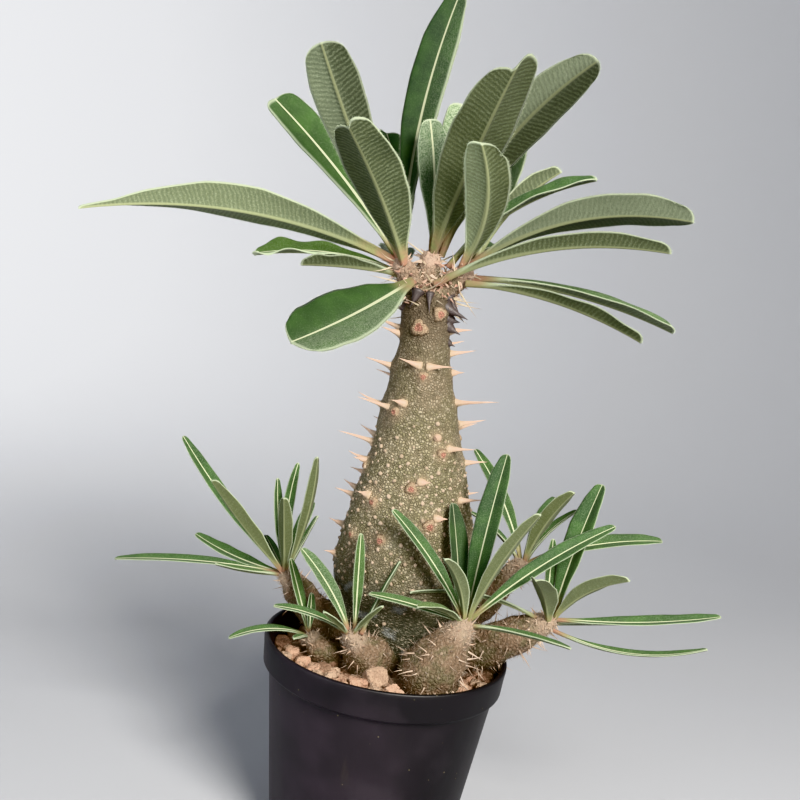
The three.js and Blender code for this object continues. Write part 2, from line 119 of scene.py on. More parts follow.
def lumps(points: np.ndarray, size: float, seed: int) -> np.ndarray:
    """Smooth random values over space.

    Args:
        points: places in millimetres, three numbers in the last axis.
        size: the width of one lump in millimetres.
        seed: picks one of many patterns.

    Returns:
        Values of about -1 to 1, one for each place.
    """
    shift = Vector((seed * 17.31, seed * 5.17, seed * 9.73))
    flat = [noise.noise(Vector(p) / size + shift) for p in points.reshape(-1, 3).tolist()]
    return np.array(flat).reshape(points.shape[:-1]) * 1.6


# Meshes


def linked(name: str, content: bpy.types.ID) -> bpy.types.Object:
    """A new object with this mesh, lamp or camera, linked to the scene."""
    made = bpy.data.objects.new(name, content)
    bpy.context.scene.collection.objects.link(made)
    return made


def bands(rows: int, columns: int) -> list[tuple[int, ...]]:
    """Four-cornered faces between rows of points that close round."""
    faces = []
    for i in range(rows - 1):
        here, there = i * columns, (i + 1) * columns
        for j in range(columns):
            k = (j + 1) % columns
            faces.append((here + j, here + k, there + k, there + j))
    return faces


@dataclass
class Form:
    """Shape in millimetres, with named values marked on its points."""

    points: np.ndarray
    faces: list[tuple[int, ...]]
    marks: dict[str, np.ndarray] = field(default_factory=dict)

    @classmethod
    def joined(cls, forms: Iterable["Form"]) -> "Form":
        """Several shapes with the same marks as one."""
        parts = list(forms)
        faces: list[tuple[int, ...]] = []
        start = 0
        for part in parts:
            faces += [tuple(i + start for i in face) for face in part.faces]
            start += len(part.points)
        marks = {mark: np.concatenate([part.marks[mark] for part in parts]) for mark in parts[0].marks}
        return cls(np.concatenate([part.points for part in parts]), faces, marks)

    @classmethod
    def skinned(
        cls,
        rings: np.ndarray,
        start: np.ndarray,
        end: np.ndarray,
        row_marks: dict[str, np.ndarray] | None = None,
    ) -> "Form":
        """Skin over rings of points, closed by a fan at either end.

        Args:
            rings: rows of points, shaped rows by columns by three.
            start: the pole before the first ring.
            end: the pole after the last ring.
            row_marks: named values, one for each ring.

        Returns:
            The closed shape.
        """
        rows, columns = rings.shape[:2]
        points = np.concatenate([rings.reshape(-1, 3), [start], [end]])
        first, last = rows * columns, rows * columns + 1
        faces: list[tuple[int, ...]] = []
        for j in range(columns):
            k = (j + 1) % columns
            faces.append((first, k, j))
            faces.append((last, (rows - 1) * columns + j, (rows - 1) * columns + k))
            for i in range(rows - 1):
                here, there = i * columns, (i + 1) * columns
                faces.append((here + j, here + k, there + k, there + j))
        marks = {
            mark: np.concatenate([np.repeat(values, columns), [values[0], values[-1]]])
            for mark, values in (row_marks or {}).items()
        }
        return cls(points, faces, marks)

    def mesh(self, name: str, outward: bool = True) -> bpy.types.Mesh:
        """Makes the mesh in metres.

        Args:
            name: the mesh's name.
            outward: whether to turn all faces outwards, for a closed shape.

        Returns:
            The smooth-shaded mesh with its marks as point attributes.
        """
        mesh = bpy.data.meshes.new(name)
        mesh.from_pydata((self.points * MM).tolist(), [], self.faces)
        for mark, values in self.marks.items():
            layer = mesh.attributes.new(mark, "FLOAT", "POINT")
            layer.data.foreach_set("value", np.asarray(values, np.float32))
        if outward:
            work = bmesh.new()
            work.from_mesh(mesh)
            bmesh.ops.recalc_face_normals(work, faces=work.faces)
            work.to_mesh(mesh)
            work.free()
        mesh.shade_smooth()
        return mesh

    def object(
        self, name: str, material: bpy.types.Material | None = None, outward: bool = True
    ) -> bpy.types.Object:
        """Makes the object at the origin and links it to the scene."""
        mesh = self.mesh(name, outward)
        if material is not None:
            mesh.materials.append(material)
        return linked(name, mesh)


def revolved(outline: Table, columns: int) -> Form:
    """Turns an outline round the pot's axis.

    Args:
        outline: rows of radius and height, the first and last on the axis.
        columns: how many points go round.

    Returns:
        The closed shape.
    """
    turns = once_round(columns)
    rings = []
    for radius, z in outline[1:-1]:
        rings.append([(radius * math.cos(turn), radius * math.sin(turn), z) for turn in turns])
    start, end = (np.array([0, 0, z]) for _, z in (outline[0], outline[-1]))
    return Form.skinned(np.array(rings), start, end)


def seat(piece: bpy.types.Object, slot: str, *nodes: str) -> None:
    """Puts a finished piece on its body and in place of CAD nodes, and logs its slot.

    Args:
        piece: the finished object.
        slot: the record's material slot.
        nodes: the CAD nodes that it stands for, if any.
    """
    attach(piece, BODY)
    if nodes:
        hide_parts(*nodes)
    faces = len(piece.data.polygons)
    LOG.info("%s: %d faces, slot %s, for %s", piece.name, faces, slot, nodes or "detail only")


def plain_mesh(source: bpy.types.Object, name: str) -> bpy.types.Object:
    """Turns an object with modifiers into a new plain one and removes the source.

    Args:
        source: the object whose modifiers are applied.
        name: the new object's name.

    Returns:
        The plain mesh object at the origin.
    """
    graph = bpy.context.evaluated_depsgraph_get()
    mesh = bpy.data.meshes.new_from_object(source.evaluated_get(graph))
    mesh.name = name
    source.modifiers.clear()
    bpy.data.objects.remove(source)
    return linked(name, mesh)


# Shader maths


class Shade:
    """One output of a material's nodes, with Python's operators as Math nodes."""

    def __init__(self, paint: "Paint", socket: bpy.types.NodeSocket) -> None:
        """Wraps a socket of the paint's nodes."""
        self.paint = paint
        self.socket = socket

    def _maths(self, operation: str, *values: "Shade | float") -> "Shade":
        """Adds one Math node on these values."""
        return self.paint.node("ShaderNodeMath", {"operation": operation}, dict(enumerate(values)))

    def __add__(self, other: "Shade | float") -> "Shade":
        """Sum."""
        return self._maths("ADD", self, other)

    def __radd__(self, other: float) -> "Shade":
        """Sum with the number first."""
        return self._maths("ADD", other, self)

    def __sub__(self, other: "Shade | float") -> "Shade":
        """Difference."""
        return self._maths("SUBTRACT", self, other)

    def __rsub__(self, other: float) -> "Shade":
        """Difference with the number first."""
        return self._maths("SUBTRACT", other, self)

    def __mul__(self, other: "Shade | float") -> "Shade":
        """Product."""
        return self._maths("MULTIPLY", self, other)

    def __rmul__(self, other: float) -> "Shade":
        """Product with the number first."""
        return self._maths("MULTIPLY", other, self)

    def __pow__(self, other: "Shade | float") -> "Shade":
        """Power."""
        return self._maths("POWER", self, other)

    def sine(self) -> "Shade":
        """Sine of the value in radians."""
        return self._maths("SINE", self)

    def step(self, low: "Shade | float", high: "Shade | float") -> "Shade":
        """Rises smoothly from 0 where the value is low to 1 where it is high."""
        sockets = {"Value": self, "From Min": low, "From Max": high, "To Min": 0.0, "To Max": 1.0}
        return self.paint.node("ShaderNodeMapRange", {"interpolation_type": "SMOOTHSTEP"}, sockets)


class Paint:
    """A new material and the nodes that dress it."""

    def __init__(self, name: str, sockets: dict[str, Any]) -> None:
        """Starts the material.

        Args:
            name: the material's name.
            sockets: constant values for the shader's own sockets.
        """
        self.material = bpy.data.materials.new(name)
        self.material.use_nodes = True
        self.tree = self.material.node_tree
        self.surface = self.tree.nodes["Principled BSDF"]
        for socket, value in sockets.items():
            self.surface.inputs[socket].default_value = value

    def node(
        self, kind: str, settings: dict[str, Any], sockets: dict[str | int, Any], out: str | int = 0
    ) -> Shade:
        """Adds any node.

        Args:
            kind: the node's type.
            settings: its settings, set first; "stops" are a ramp's places and colours.
            sockets: values or links by socket name or number.
            out: the output to use.

        Returns:
            That output.
        """
        added = self.tree.nodes.new(kind)
        for setting, value in settings.items():
            if setting == "stops":
                self._set_stops(added.color_ramp, value)
            else:
                setattr(added, setting, value)
        for socket, value in sockets.items():
            if isinstance(value, Shade):
                self.tree.links.new(value.socket, added.inputs[socket])
            elif isinstance(value, tuple) and added.inputs[socket].type == "RGBA":
                added.inputs[socket].default_value = (*value, 1.0)
            else:
                added.inputs[socket].default_value = value
        return Shade(self, added.outputs[out])

    @staticmethod
    def _set_stops(ramp: bpy.types.ColorRamp, stops: Sequence[tuple[float, Colour]]) -> None:
        """Gives a colour ramp its stops."""
        while len(ramp.elements) < len(stops):
            ramp.elements.new(1.0)
        for element, (position, colour) in zip(ramp.elements, stops):
            element.position = position
            element.color = (*colour, 1.0)

    def mark(self, name: str) -> Shade:
        """A value marked on the mesh's points."""
        return self.node("ShaderNodeAttribute", {"attribute_name": name}, {}, "Fac")

    def place(self) -> Shade:
        """Object coordinates in metres."""
        return self.node("ShaderNodeTexCoord", {}, {}, "Object")

    def stretched(self, x: float, y: float, z: float) -> Shade:
        """Object coordinates, scaled along each axis."""
        return self.node("ShaderNodeMapping", {}, {"Vector": self.place(), "Scale": (x, y, z)})

    def along(self, axis: str) -> Shade:
        """One of the object coordinates, X, Y or Z, in millimetres."""
        return self.node("ShaderNodeSeparateXYZ", {}, {"Vector": self.place()}, axis) * (1 / MM)

    def cloud(self, size: float, detail: float = 3.0, where: Shade | None = None) -> Shade:
        """Noise from 0 to 1 whose blotches are about size millimetres wide."""
        sockets = {"Vector": where or self.place(), "Scale": 1 / (size * MM), "Detail": detail}
        return self.node("ShaderNodeTexNoise", {}, sockets)

    def cells(
        self, size: float, feature: str = "F1", out: str = "Distance", where: Shade | None = None
    ) -> Shade:
        """Voronoi cells about size millimetres wide."""
        sockets = {"Vector": where or self.place(), "Scale": 1 / (size * MM), "Randomness": 1.0}
        return self.node("ShaderNodeTexVoronoi", {"feature": feature}, sockets, out)

    def cell_dice(self, size: float) -> Shade:
        """One random number from 0 to 1 for each Voronoi cell."""
        colour = self.cells(size, out="Color")
        return self.node("ShaderNodeSeparateColor", {}, {"Color": colour}, "Red")

    def mixed(self, share: Shade | float, one: Shade | Colour, other: Shade | Colour) -> Shade:
        """Two colours mixed.

        Args:
            share: how much of the other colour, 0 to 1.
            one: the colour at 0.
            other: the colour at 1.

        Returns:
            The mixed colour.
        """
        settings = {"data_type": "RGBA", "blend_type": "MIX", "clamp_factor": True}
        return self.node("ShaderNodeMix", settings, {0: share, 6: one, 7: other}, 2)

    def layered(self, colour: Shade, *layers: tuple[Shade | float, Shade | Colour]) -> Shade:
        """A colour with others laid over it in turn, each by its own share."""
        for share, over in layers:
            colour = self.mixed(share, colour, over)
        return colour

    def toned(self, colour: Shade, tone: Shade) -> Shade:
        """A colour made lighter or darker by a factor."""
        return self.node("ShaderNodeVectorMath", {"operation": "SCALE"}, {"Vector": colour, "Scale": tone})

    def ramp(self, value: Shade, *stops: tuple[float, Colour]) -> Shade:
        """Colours by value."""
        return self.node("ShaderNodeValToRGB", {"stops": stops}, {"Fac": value}, "Color")

    def finished(
        self, colour: Shade, roughness: Shade | None = None, relief: Shade | None = None
    ) -> bpy.types.Material:
        """Connects the shader.

        Args:
            colour: the base colour.
            roughness: the roughness, where it varies.
            relief: the height of fine relief in millimetres.

        Returns:
            The material.
        """
        self.tree.links.new(colour.socket, self.surface.inputs["Base Color"])
        if roughness is not None:
            self.tree.links.new(roughness.socket, self.surface.inputs["Roughness"])
        if relief is not None:
            sockets = {"Strength": 1.0, "Distance": MM, "Height": relief}
            bump = self.node("ShaderNodeBump", {}, sockets, "Normal")
            self.tree.links.new(bump.socket, self.surface.inputs["Normal"])
        return self.material


# Finishes


@dataclass(frozen=True)
class LeafFelt:
    """Felted leaf: dark green above, grey-olive with ragged pale ridges below, a pale midrib and margins."""

    deep: Colour = (0.016, 0.050, 0.015)
    fresh: Colour = (0.042, 0.108, 0.024)
    olive_top: Colour = (0.066, 0.115, 0.020)
    under: Colour = (0.058, 0.074, 0.037)
    under_olive: Colour = (0.076, 0.090, 0.028)
    groove: Colour = (0.018, 0.027, 0.010)
    felt: Colour = (0.31, 0.36, 0.25)
    rib: Colour = (0.52, 0.55, 0.36)
    under_rib: Colour = (0.215, 0.235, 0.125)
    margin: Colour = (0.45, 0.51, 0.36)
    stalk: Colour = (0.20, 0.215, 0.090)
    blush: Colour = (0.31, 0.165, 0.115)

    def material(self) -> bpy.types.Material:
        """Builds the material from the marks that Leaf sets."""
        paint = Paint("leaf_felt", {"Sheen Weight": 0.06, "Sheen Roughness": 0.6, "Specular IOR Level": 0.24})
        rib, edge, share = paint.mark("rib"), paint.mark("edge"), paint.mark("share")
        # The mark "frost" is the felt's silver; where one half has more of it, that is partly painted light
        upper, olive, frost = paint.mark("upper").step(0.35, 0.65), paint.mark("olive"), paint.mark("frost")
        veined = paint.mark("veined") * (1 - upper)
        ragged, blotch, patchy = paint.cloud(1.3, 4), paint.cloud(7), paint.cloud(4, 3)
        speckle, fuzz = paint.cloud(0.42, 3), paint.cloud(0.17, 2)
        vein = (paint.mark("vein") + ragged * 6.5).sine() * 0.5 + 0.5
        on_rib = 1 - rib.step(0.8, 1.3)
        on_rib_below = 1 - rib.step(1.3, 2.3)
        on_margin = 1 - edge.step(0.3, 1.15)

        freshness = blotch.step(0.3, 0.75) * 0.75 + speckle.step(0.45, 0.8) * 0.35
        top = paint.mixed(freshness, self.deep, self.fresh)
        top = paint.layered(
            top,
            (olive * 0.85, self.olive_top),
            (speckle.step(0.5, 0.8) * 0.14, self.felt),
            (frost * (0.2 + speckle.step(0.4, 0.62) * 0.8), self.felt),
            (on_rib, self.rib),
        )

        below = paint.mixed(olive, self.under, self.under_olive)
        below = paint.layered(
            below,
            ((1 - vein.step(0.1, 0.75)) * veined * (0.38 + patchy * 0.5), self.groove),
            (vein.step(0.5, 0.95) * speckle.step(0.35, 0.65) * veined * 0.26, self.felt),
        )
        felted = speckle.step(0.45, 0.75) * 0.15 + frost * (0.2 + fuzz.step(0.3, 0.6) * 0.6)
        below = paint.layered(
            below,
            (felted, self.felt),
            (on_rib_below * 0.8, self.under_rib),
        )

        colour = paint.mixed(upper, below, top)
        colour = paint.layered(
            colour,
            (on_margin * (0.4 + fuzz * 0.55), self.margin),
            (1 - share.step(0.05, 0.2), self.stalk),
            ((1 - share.step(0.0, 0.16)) * blotch.step(0.3, 0.6), self.blush),
        )
        # Painted light and shade: the mark "tone" lightens or darkens each leaf and each half of it
        colour = paint.toned(colour, paint.mark("tone"))
        relief = vein * veined * 0.07 * (1 - on_rib_below) + speckle * 0.07 + fuzz * 0.05 + ragged * 0.05
        return paint.finished(colour, 0.58 + speckle * 0.25, relief)


@dataclass(frozen=True)
class LeafHair:
    """Short pale hairs on the leaf margins."""

    root: Colour = (0.34, 0.42, 0.25)
    tip: Colour = (0.66, 0.72, 0.54)

    def material(self) -> bpy.types.Material:
        """Builds the material; a hair grows paler to its tip."""
        paint = Paint("leaf_hair", {"Roughness": 0.6, "Sheen Weight": 0.2})
        colour = paint.mixed(paint.mark("strand") * 0.6 + paint.mark("reach") * 0.4, self.root, self.tip)
        return paint.finished(colour)


@dataclass(frozen=True)
class TrunkBark:
    """Olive and tan bark, finely pebbled, with pale specks, calluses, a dark neck and painted shade at its
    foot.
    """

    olive: Colour = (0.215, 0.195, 0.110)
    tan: Colour = (0.37, 0.300, 0.200)
    groove: Colour = (0.085, 0.075, 0.045)
    speck: Colour = (0.56, 0.49, 0.36)
    callus: Colour = (0.47, 0.345, 0.235)
    neck: Colour = (0.105, 0.080, 0.055)
    # foot: near-black painted shade low on the trunk, where the side stems shade it
    foot: Colour = (0.066, 0.068, 0.048)
    bloom: Colour = (0.40, 0.42, 0.41)

    def material(self) -> bpy.types.Material:
        """Builds the material; the height picks out the neck and the painted shade of the foot."""
        paint = Paint("trunk_bark", {"Specular IOR Level": 0.3})
        height, callus = paint.along("Z"), paint.mark("callus")
        pebble = paint.cells(1.0, "DISTANCE_TO_EDGE")
        dice, wide_dice = paint.cell_dice(1.0), paint.cell_dice(2.4)
        patch, grain, fine = paint.cloud(15), paint.cloud(0.6, 4), paint.cloud(0.3, 2)
        colour = paint.mixed(patch.step(0.42, 0.62), self.olive, self.tan)
        colour = paint.layered(
            colour,
            (paint.cloud(5, 3).step(0.5, 0.7) * 0.35, self.olive),
            (dice.step(0.5, 1.0) * 0.5, self.speck),
            ((1 - dice.step(0.0, 0.45)) * 0.5, self.groove),
            ((1 - pebble.step(0.02, 0.26)) * 0.75, self.groove),
        )
        dots = (1 - paint.cells(2.4).step(0.14, 0.30)) * wide_dice.step(0.7, 0.75)
        colour = paint.layered(
            colour,
            (dots * 0.5, self.speck),
            (fine.step(0.5, 0.8) * 0.25, self.speck),
            (callus * 0.55, self.callus),
        )
        high = (height + patch * 30).step(165, 215)
        colour = paint.mixed(high * 0.5, colour, self.neck)
        neck = (height + patch * 14 - grain * 8).step(200, 214)
        colour = paint.mixed(neck * (0.45 + grain.step(0.35, 0.6) * 0.4), colour, self.neck)
        # Painted shade: the foot darkens down to the grit, behind the side stems; the pale dashes on it are
        # bark
        foot = (1 - (height - patch * 28).step(76, 108)) * 0.9
        dashes = paint.cells(1.0, where=paint.stretched(0.5, 0.5, 1.5)).step(0.12, 0.5)
        colour = paint.layered(
            colour,
            (foot, self.foot),
            (foot * (1 - dashes) * grain.step(0.35, 0.6) * 0.75, self.speck),
        )
        bloom = paint.cloud(9, 5, paint.stretched(1, 1, 1.3)).step(0.56, 0.7) * (1 - height.step(100, 132))
        colour = paint.mixed(bloom * (0.25 + grain * 0.5), colour, self.bloom)
        relief = pebble.step(0.0, 0.3) * 0.34 + grain * 0.2 + foot * (1 - dashes) * 0.35 + dots * 0.2
        return paint.finished(colour, 0.65 + grain * 0.3, relief + neck * grain * 0.6)


@dataclass(frozen=True)
class ScarCork:
    """Corky leaf scar or wart: reddish and cracked in the middle, pale tan at its rim."""

    dish: Colour = (0.40, 0.190, 0.140)
    rim: Colour = (0.40, 0.300, 0.200)
    crack: Colour = (0.12, 0.06, 0.04)
    grime: Colour = (0.26, 0.18, 0.11)

    def material(self) -> bpy.types.Material:
        """Builds the material; the mark "rim" is 0 in the middle and 1 at the rim."""
        paint = Paint("scar_cork", {"Specular IOR Level": 0.3})
        grain, split = paint.cloud(0.5, 4), paint.cells(0.8, "DISTANCE_TO_EDGE")
        rim = paint.mark("rim")
        colour = paint.mixed(rim.step(0.15, 0.8), self.dish, self.rim)
        colour = paint.layered(
            colour,
            ((1 - split.step(0.02, 0.12)) * (1 - rim * 0.6), self.crack),
            (grain.step(0.45, 0.7) * 0.4, self.grime),
        )
        return paint.finished(colour, 0.6 + grain * 0.3, grain * 0.3 + split.step(0.0, 0.2) * 0.2)


@dataclass(frozen=True)
class SpineHorn:
    """Horny spine: pinkish at its root, tan along its length, grey at its point; old ones are dark."""

    root: Colour = (0.46, 0.345, 0.235)
    shaft: Colour = (0.62, 0.430, 0.315)
    point: Colour = (0.34, 0.255, 0.205)
    old: Colour = (0.035, 0.028, 0.03)
    streak: Colour = (0.74, 0.60, 0.47)

    def material(self) -> bpy.types.Material:
        """Builds the material; "reach" runs from root to point and "age" darkens."""
        paint = Paint("spine_horn", {"Specular IOR Level": 0.5})
        reach, streak = paint.mark("reach"), paint.cloud(0.7, 3)
        colour = paint.ramp(reach, (0.0, self.root), (0.3, self.shaft), (0.75, self.shaft), (1.0, self.point))
        colour = paint.layered(
            colour,
            (streak.step(0.45, 0.75) * 0.4, self.streak),
            (paint.mark("age"), self.old),
        )
        return paint.finished(colour, 0.38 + streak * 0.25, streak * 0.12)


@dataclass(frozen=True)
class StemBark:
    """Brown, warty bark of the side stems and crown arms, with pale flecks and matted fibres."""

    name: str = "stem_bark"
    light: Colour = (0.190, 0.130, 0.086)
    dark: Colour = (0.066, 0.046, 0.029)
    moss: Colour = (0.125, 0.108, 0.062)
    fleck: Colour = (0.33, 0.255, 0.185)
    tip: Colour = (0.36, 0.275, 0.205)

    def material(self) -> bpy.types.Material:
        """Builds the material; "reach" runs from the trunk to the stem's tip."""
        paint = Paint(self.name, {"Specular IOR Level": 0.3})
        patch, grain = paint.cloud(6), paint.cloud(0.55, 4)
        fibre = paint.cloud(0.8, 4, paint.stretched(1, 1, 0.3))
        pebble, dots, dice = paint.cells(1.7, "DISTANCE_TO_EDGE"), paint.cells(2.6), paint.cell_dice(2.6)
        colour = paint.mixed(patch.step(0.42, 0.64), self.light, self.moss)
        colour = paint.layered(
            colour,
            (grain.step(0.46, 0.68) * 0.6, self.dark),
            ((1 - pebble.step(0.02, 0.12)) * 0.4, self.dark),
            (fibre.step(0.52, 0.7) * 0.5, self.fleck),
        )
        warts = (1 - dots.step(0.15, 0.32)) * dice.step(0.6, 0.7)
        colour = paint.layered(
            colour,
            (warts * 0.7, self.fleck),
            (paint.mark("reach").step(0.78, 1.0) * 0.7, self.tip),
        )
        relief = pebble.step(0.0, 0.3) * 0.25 + grain * 0.35 + fibre * 0.3 + warts * 0.4
        return paint.finished(colour, 0.7 + grain * 0.25, relief)


@dataclass(frozen=True)
class Strand:
    """Hairs, bristles or scales: one colour family, varied from strand to strand."""

    name: str
    dull: Colour
    bright: Colour
    point: Colour
    roughness: float = 0.6

    def material(self) -> bpy.types.Material:
        """Builds the material; "strand" picks the tone and "reach" runs to the point."""
        paint = Paint(self.name, {"Roughness": self.roughness, "Sheen Weight": 0.15})
        colour = paint.mixed(paint.mark("strand"), self.dull, self.bright)
        colour = paint.mixed(paint.mark("reach") ** 2, colour, self.point)
        return paint.finished(colour)


@dataclass(frozen=True)
class GritStone:
    """Dry pumice and baked clay: pinkish tan to beige lumps with pores and dust."""

    tones: Sequence[tuple[float, Colour]] = (
        (0.0, (0.17, 0.115, 0.08)),
        (0.25, (0.30, 0.180, 0.122)),
        (0.45, (0.42, 0.255, 0.178)),
        (0.65, (0.50, 0.325, 0.230)),
        (0.8, (0.33, 0.235, 0.168)),
        (1.0, (0.56, 0.41, 0.300)),
    )
    dust: Colour = (0.60, 0.44, 0.31)
    clay: Colour = (0.27, 0.165, 0.11)
    pore: Colour = (0.15, 0.09, 0.065)

    def material(self) -> bpy.types.Material:
        """Builds the material; "strand" picks the tone of each stone."""
        paint = Paint("grit_stone", {"Specular IOR Level": 0.22})
        pore, grain, stain = paint.cells(0.9), paint.cloud(0.5, 5), paint.cloud(2.5, 3)
        colour = paint.ramp(paint.mark("strand"), *self.tones)
        colour = paint.layered(
            colour,
            (stain.step(0.45, 0.7) * 0.5, self.dust),
            (grain.step(0.48, 0.7) * 0.45, self.clay),
            ((1 - pore.step(0.1, 0.32)) * 0.55, self.pore),
        )
        return paint.finished(colour, 0.88 + grain * 0.1, grain * 0.6 + pore * 0.5 + stain * 0.9)


@dataclass(frozen=True)
class GritBed:
    """Dark fine grit and dust between the stones."""

    dark: Colour = (0.035, 0.024, 0.018)
    brown: Colour = (0.16, 0.10, 0.07)
    crumb: Colour = (0.42, 0.27, 0.18)

    def material(self) -> bpy.types.Material:
        """Builds the material."""
        paint = Paint("grit_bed", {"Specular IOR Level": 0.2})
        crumb, grain = paint.cells(1.4), paint.cloud(0.8, 4)
        colour = paint.mixed(grain.step(0.4, 0.65), self.dark, self.brown)
        colour = paint.mixed(paint.cell_dice(1.4).step(0.8, 0.9) * 0.6, colour, self.crumb)
        return paint.finished(colour, 0.9 + grain * 0.05, crumb * 0.5 + grain * 0.3)


@dataclass(frozen=True)
class PotPlastic:
    """Violet-black moulded plastic: faint sheen, scuffs, water marks, dust flecks, painted sheen and shade.
    """

    black: Colour = (0.006, 0.0052, 0.0065)
    # violet: the lighter tone, shown where sheen is painted
    violet: Colour = (0.030, 0.024, 0.030)
    dust: Colour = (0.20, 0.17, 0.10)

    def material(self) -> bpy.types.Material:
        """Builds the material."""
        paint = Paint("pot_plastic", {"Specular IOR Level": 0.45})
        # film blotches vary the roughness, and in the colour they are painted sheen
        film_and_sheen, grain = paint.cloud(22, 3), paint.cloud(0.35, 2)
        streak = paint.cloud(5, 4, paint.stretched(1, 1, 0.18))
        dice, spot = paint.cell_dice(2.6), paint.cells(2.6)
        flecks = (1 - spot.step(0.05, 0.14)) * dice.step(0.86, 0.9)
        # The lower wall: lighter with painted sheen, and dustier
        low = 1 - paint.along("Z").step(60, 78)
        # Painted light: sheen lightens blotches and the lower wall, and painted shade darkens the right side
        lit = film_and_sheen.step(0.35, 0.7) * 0.5 + low * 0.5 - paint.along("X").step(-5, 45) * 0.85
        colour = paint.mixed(lit, self.black, self.violet)
        colour = paint.layered(
            colour,
            (streak.step(0.62, 0.85) * low * 0.06, self.dust),
            (flecks * (0.4 + low * 0.3), self.dust),
        )
        roughness = 0.40 + film_and_sheen * 0.14 + streak * 0.08 + flecks * 0.3
        return paint.finished(colour, roughness, grain * 0.02 + flecks * 0.08)


@dataclass(frozen=True)
class StudioFloor:
    """Pale matt floor."""

    pale: Colour = (0.44, 0.45, 0.47)
    shade: Colour = (0.40, 0.41, 0.43)

    def material(self) -> bpy.types.Material:
        """Builds the material."""
        paint = Paint("studio_floor", {"Roughness": 0.9, "Specular IOR Level": 0.1})
        soft = paint.cloud(420, 2)
        return paint.finished(paint.mixed(soft * 0.25, self.pale, self.shade))


# Geometry Nodes


@dataclass(frozen=True)
class Coat:
    """Strands on a surface: how many there are on a square millimetre, their size, shape and lean."""

    density: float
    shortest: float
    longest: float
    slimness: float
    bend: float = 0.2
    lean: float = 0.4
    rows: int = 2
    sides: int = 3
    seed: int = 1
    lengths: ClassVar[tuple[str, ...]] = ("shortest", "longest")


@dataclass(frozen=True)
class Scatter:
    """Stones on a surface: how far apart they lie, their size and how worn they are."""

    spacing: float
    smallest: float
    largest: float
    roundness: float = 0.62
    roughness: float = 1.5
    lump: float = 3.0
    cuts: int = 3
    seed: int = 1
    lengths: ClassVar[tuple[str, ...]] = ("spacing", "smallest", "largest", "roughness", "lump")


